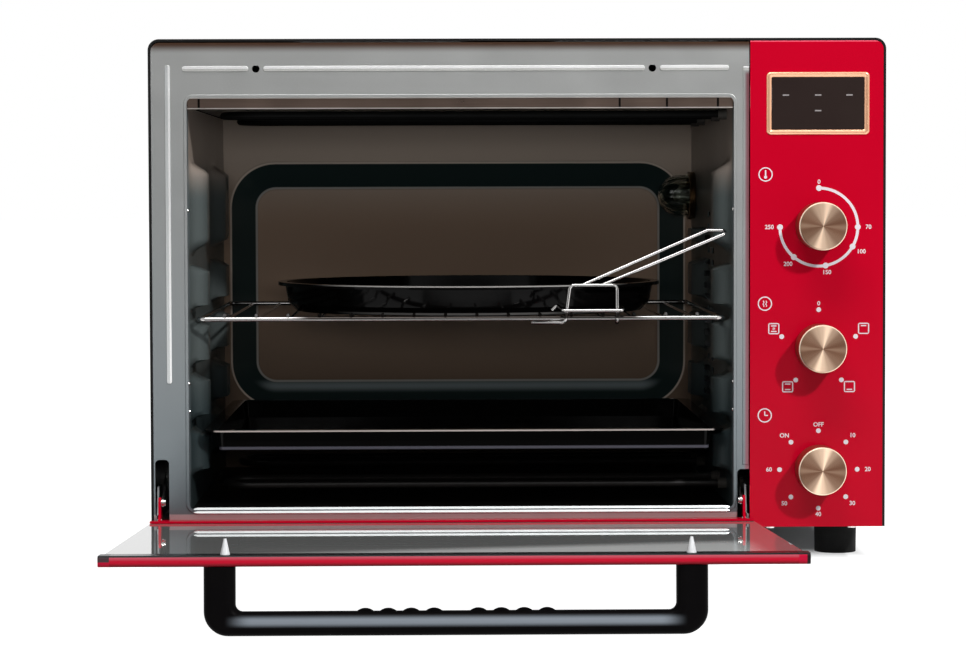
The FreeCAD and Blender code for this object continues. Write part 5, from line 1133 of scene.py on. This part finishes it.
def label(shape, text, middle, degrees):
    """A figure just outside the dot of its setting."""
    spread = label_spread * abs(math.sin(math.radians(degrees)))
    words(shape, text, around(middle, label_radius + spread, degrees), figure_size)


def icon_ring(shape, middle, left, up):
    """The circle of a dial's symbol, up and to the left of the dial; gives back the circle's middle."""
    icon = (middle[0] - left, middle[1] + up)
    arc(shape, icon, icon_radius, line_width, 0, 360)
    return icon


def temperature_print(shape):
    """A scale from 0 to 250 on a curved line, and a thermometer in a circle."""
    middle = knob_middle("temperature_knob")
    arc(shape, middle, scale_radius, scale_width, 3, 272)
    for figure, degrees in (("0", 0), ("70", 90), ("100", 120), ("150", 170), ("200", 220), ("250", 270)):
        dot(shape, around(middle, scale_radius, degrees), scale_dot_radius)
        label(shape, figure, middle, degrees)
    icon = icon_ring(shape, middle, 0.0436, 0.0430)
    bar(shape, (icon[0], icon[1] - 0.002), (icon[0], icon[1] + 0.0034), 0.0011)
    dot(shape, (icon[0], icon[1] - 0.0022), 0.0013)


def mode_print(shape):
    """Five settings, marked with 0 and with squares that show which heaters and whether the fan is on."""
    middle = knob_middle("mode_knob")
    for setting in range(5):
        dot(shape, around(middle, scale_radius, 72 * setting), dot_radius)
    label(shape, "0", middle, 0)
    half = square_half
    for degrees, above, below, fan in ((66, True, False, False), (141, False, True, False),
                                       (219, True, True, False), (294, True, True, True)):
        spot = around(middle, square_radius, degrees)
        frame_square(shape, spot, half)
        for shown, side in ((above, 1), (below, -1)):
            if shown:
                level = spot[1] + side * half * 0.55
                bar(shape, (spot[0] - half * 0.55, level), (spot[0] + half * 0.55, level), line_width)
        if fan:
            for turn in (0, 60, 120):
                start = around(spot, half * 0.3, turn)
                stop = around(spot, half * 0.3, turn + 180)
                bar(shape, start, stop, line_width / 2)
    icon = icon_ring(shape, middle, 0.0440, 0.0368)
    for side in (-0.0011, 0.0011):
        wave = [(icon[0] + side + 0.0004 * math.sin(step * 1.3), icon[1] - 0.0024 + 0.0006 * step)
                for step in range(9)]
        for start, stop in zip(wave, wave[1:]):
            bar(shape, start, stop, line_width * 0.8)


def timer_print(shape):
    """OFF, ten to sixty minutes, and ON round the timer, and a clock in a circle."""
    middle = knob_middle("timer_knob")
    for number, figure in enumerate(("OFF", "10", "20", "30", "40", "50", "60", "ON")):
        dot(shape, around(middle, scale_radius, 45 * number), dot_radius)
        label(shape, figure, middle, 45 * number)
    icon = icon_ring(shape, middle, 0.0440, 0.0445)
    bar(shape, icon, (icon[0], icon[1] + 0.0033), line_width)
    bar(shape, icon, (icon[0] + 0.0026, icon[1]), line_width)


for name, maker in (("temperature_print", temperature_print), ("mode_print", mode_print),
                    ("timer_print", timer_print)):
    piece(name, maker, ink)

smoked = Finish("smoked_window", Specular_IOR_Level=0.45)
smoked.mottled((0.019, 0.012, 0.011), (0.025, 0.017, 0.015), 20)
smoked.rough(0.12, 40, 0.2)
dress(smoked, "display_window")

faint_ink = Finish("faint_print", Specular_IOR_Level=0.3)
faint_ink.mottled((0.20, 0.18, 0.18), (0.30, 0.28, 0.28), 500)
faint_ink.rough(0.4, 300, 0.2)

mark_length = 0.0052
mark_width = 0.0011
mark_places = ((0.15, 0.66), (0.5, 0.66), (0.84, 0.66), (0.5, 0.36))


def display_marks(shape):
    """Four short bars behind which the display lights up."""
    low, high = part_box("display_window")
    for across_share, up_share in mark_places:
        middle = low[0] + (high[0] - low[0]) * across_share
        up = low[2] + (high[2] - low[2]) * up_share
        left, right = middle - mark_length / 2, middle + mark_length / 2
        bottom, top = up - mark_width / 2, up + mark_width / 2
        slab(shape, [(left, bottom), (right, bottom), (right, top), (left, top)], low[1], ink_thickness)


piece("display_marks", display_marks, faint_ink)

black_resin = Finish("black_resin", Specular_IOR_Level=0.2)
black_resin.mottled((0.010, 0.010, 0.010), (0.020, 0.020, 0.020), 90)
black_resin.rough(0.5, 120, 0.2)
black_resin.pebbled(1200, 0.2, 0.0003)
dress(black_resin, "display_board", "thermostat", "mode_switch", "timer_mechanism", "terminal_block",
      "cord_gland")


# Door: dark tempered glass held between two red steel trims, with caps over the upper one's corners.
# It turns on two pins at its lower trim. A bow handle of black plastic is screwed through the glass,
# and a soft clear cap covers each screw.

dress(red, "door_bottom_trim")

edge_red = Finish("edge_red_lacquer", Specular_IOR_Level=0.10)
trim_low, trim_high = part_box("door_top_trim")
black_from = trim_high[2] - 0.0013
trim_highlight_from = black_from - 0.0026
# Painted shade and highlight: the edge is dark red towards the bottom, with a pink line near the top; the top
# itself is black.
edge_red.mixed((0.16, 0.0004, 0.006), (0.45, 0.0040, 0.022),
               edge_red.band("Z", trim_low[2] + 0.0012, far, 0.0035))
edge_red.blended((0.42, 0.060, 0.088), edge_red.band("Z", trim_highlight_from, far, 0.0022))
edge_red.blended((0.006, 0.006, 0.007), edge_red.band("Z", black_from, far, 0.0004))
edge_red.rough(0.22, 30, 0.2)
dress(edge_red, "door_top_trim")

left_shade = trim_high[2] - 0.0046
right_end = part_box("end_caps")[1][0] - 0.003
corner_red = Finish("corner_cap_paint", Specular_IOR_Level=0.10)
# Painted shade: the caps are darker red towards the bottom, like the trim.
corner_red.mixed((0.26, 0.0006, 0.010), (0.42, 0.0040, 0.030), corner_red.band("Z", trim_low[2], far, 0.005))
left_black = corner_red.both(corner_red.band("Z", left_shade, far, 0.0006),
                             corner_red.band("X", -far, 0, 0.001))
corner_red.blended((0.050, 0.030, 0.034), left_black)
corner_red.blended((0.006, 0.006, 0.007), corner_red.band("Z", black_from, far, 0.0004))
corner_red.blended((0.010, 0.007, 0.008), corner_red.band("X", right_end, far, 0.001))
corner_red.rough(0.3, 30, 0.2)
dress(corner_red, "end_caps")

grazing_from = 0.70
grazing_full = 0.88
sheen_left = -0.262
sheen_right = 0.172
sheen_lean = (-0.3, 1, 0)
sheen_end = front - 0.262
mirror_glass = Finish("door_mirror_glass", Specular_IOR_Level=0.9, IOR=1.6, Coat_Weight=0.2)
mirror_glass.mottled((0.022, 0.025, 0.025), (0.030, 0.034, 0.034), 15)
# Painted reflection: the glass turns pale grey where it is seen at a grazing angle.
facing = mirror_glass.node("ShaderNodeLayerWeight", Blend=0.5)
grazing = mirror_glass.node("ShaderNodeMapRange", From_Min=grazing_from, From_Max=grazing_full)
mirror_glass.join(facing.outputs["Facing"], grazing.inputs["Value"])
mirror_glass.blended((0.26, 0.265, 0.262), grazing.outputs["Result"])
# Painted reflection: a near-white slanting band beside the top trim, also only at grazing angles.
sheen = mirror_glass.both(mirror_glass.band("Y", trim_high[1] + 0.0016, far, 0.006),
                          mirror_glass.band(sheen_lean, -far, sheen_end, 0.05))
sheen = mirror_glass.both(sheen, mirror_glass.band("X", sheen_left, sheen_right, 0.03))
mirror_glass.blended((0.98, 1.0, 0.99), mirror_glass.both(sheen, grazing.outputs["Result"]))
mirror_glass.rough(0.012, 20, 0.3)
dress(mirror_glass, "door_glass")

handle_low, handle_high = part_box("door_handle")
bar_middle = handle_low[2] + 0.0113
bar_end = 0.014
handle_plastic = Finish("handle_plastic", Specular_IOR_Level=0.012)
handle_plastic.mottled((0.0018, 0.0016, 0.0018), (0.0036, 0.0032, 0.0034), 40)
# Painted highlight: a soft bluish band along the middle of the bar.
along_bar = handle_plastic.band("X", handle_low[0] + bar_end, handle_high[0] - bar_end, 0.02)
across_bar = handle_plastic.band("Z", bar_middle - 0.0052, bar_middle + 0.0042, 0.0040)
handle_plastic.blended((0.190, 0.215, 0.245), handle_plastic.both(along_bar, across_bar))
handle_plastic.rough(0.36, 70, 0.12)
handle_plastic.pebbled(1500, 0.12, 0.0002)
dress(handle_plastic, "door_handle")

silicone = Finish("clear_silicone", Subsurface_Weight=0.3, Specular_IOR_Level=0.4)
silicone.shader.inputs["Subsurface Radius"].default_value = (0.004, 0.004, 0.004)
silicone.mottled((0.60, 0.61, 0.62), (0.72, 0.73, 0.74), 200)
silicone.rough(0.35, 200, 0.2)
dress(silicone, "screw_caps")


# Rack and gripper: welded steel wire in bright chrome plate. The rack slides on the stamped runners,
# and the gripper hooks over its front wire to draw it out.

chrome = Finish("chrome_wire", Metallic=1.0)
chrome.mottled((0.34, 0.33, 0.325), (0.50, 0.49, 0.48), 70)
rack_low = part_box("wire_rack")[0]
wire_middle = rack_low[2] + 0.0020
pan_left = -0.190
pan_right = 0.112
# Painted reflection: the upper half of the rack's front wire is dark under the black pan.
pan_reflection_on_wire = chrome.both(chrome.band("Y", -far, rack_low[1] + 0.0040, 0.0004),
                        chrome.band("X", pan_left, pan_right, 0.02))
pan_reflection_on_wire = chrome.both(pan_reflection_on_wire, chrome.band("Z", wire_middle - 0.0002, wire_middle + 0.0052, 0.0006))
chrome.blended((0.025, 0.021, 0.019), pan_reflection_on_wire)
chrome.rough(0.10, 300, 0.5)
dress(chrome, "wire_rack", "pan_gripper")


# Pan and tray: pressed steel in glossy black enamel. The pan stands on the rack, and the tray slides
# on runners below it.

def black_ware(name):
    """Glossy black enamel for the cookware."""
    made = Finish(name, Specular_IOR_Level=0.07)
    made.mottled((0.0012, 0.0011, 0.0011), (0.0022, 0.0020, 0.0020), 20)
    made.rough(0.10, 30, 0.35)
    made.pebbled(90, 0.03, 0.0006, detail=1.0)
    return made


pan_enamel = black_ware("black_pan_enamel")
pan_low, pan_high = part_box("round_pan")
# Painted highlights: pale lines along the top of the rim and low on the side, on the pan's near half.
near_pan = pan_enamel.band("Y", -far, pan_low[1] + 0.07, 0.05)
for low, high, tint in ((pan_high[2] - 0.0012, far, (0.30, 0.29, 0.28)),
                        (pan_low[2] + 0.0004, pan_low[2] + 0.0028, (0.16, 0.155, 0.15))):
    pan_enamel.blended(tint, pan_enamel.both(near_pan, pan_enamel.band("Z", low, high, 0.0006)))
dress(pan_enamel, "round_pan")

tray_enamel = black_ware("black_tray_enamel")
tray_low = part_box("baking_tray")[0]
# Painted highlights: a pale line along the tray's front edge and a bluish one along its lower front edge.
tray_enamel.blended((0.36, 0.32, 0.30), tray_enamel.band("Y", -far, tray_low[1] + 0.0022, 0.0012))
low_tray = tray_enamel.both(tray_enamel.band("Y", -far, tray_low[1] + 0.02, 0.004),
                            tray_enamel.band("Z", tray_low[2], tray_low[2] + 0.0032, 0.0010))
tray_enamel.blended((0.085, 0.085, 0.105), low_tray)
dress(tray_enamel, "baking_tray")
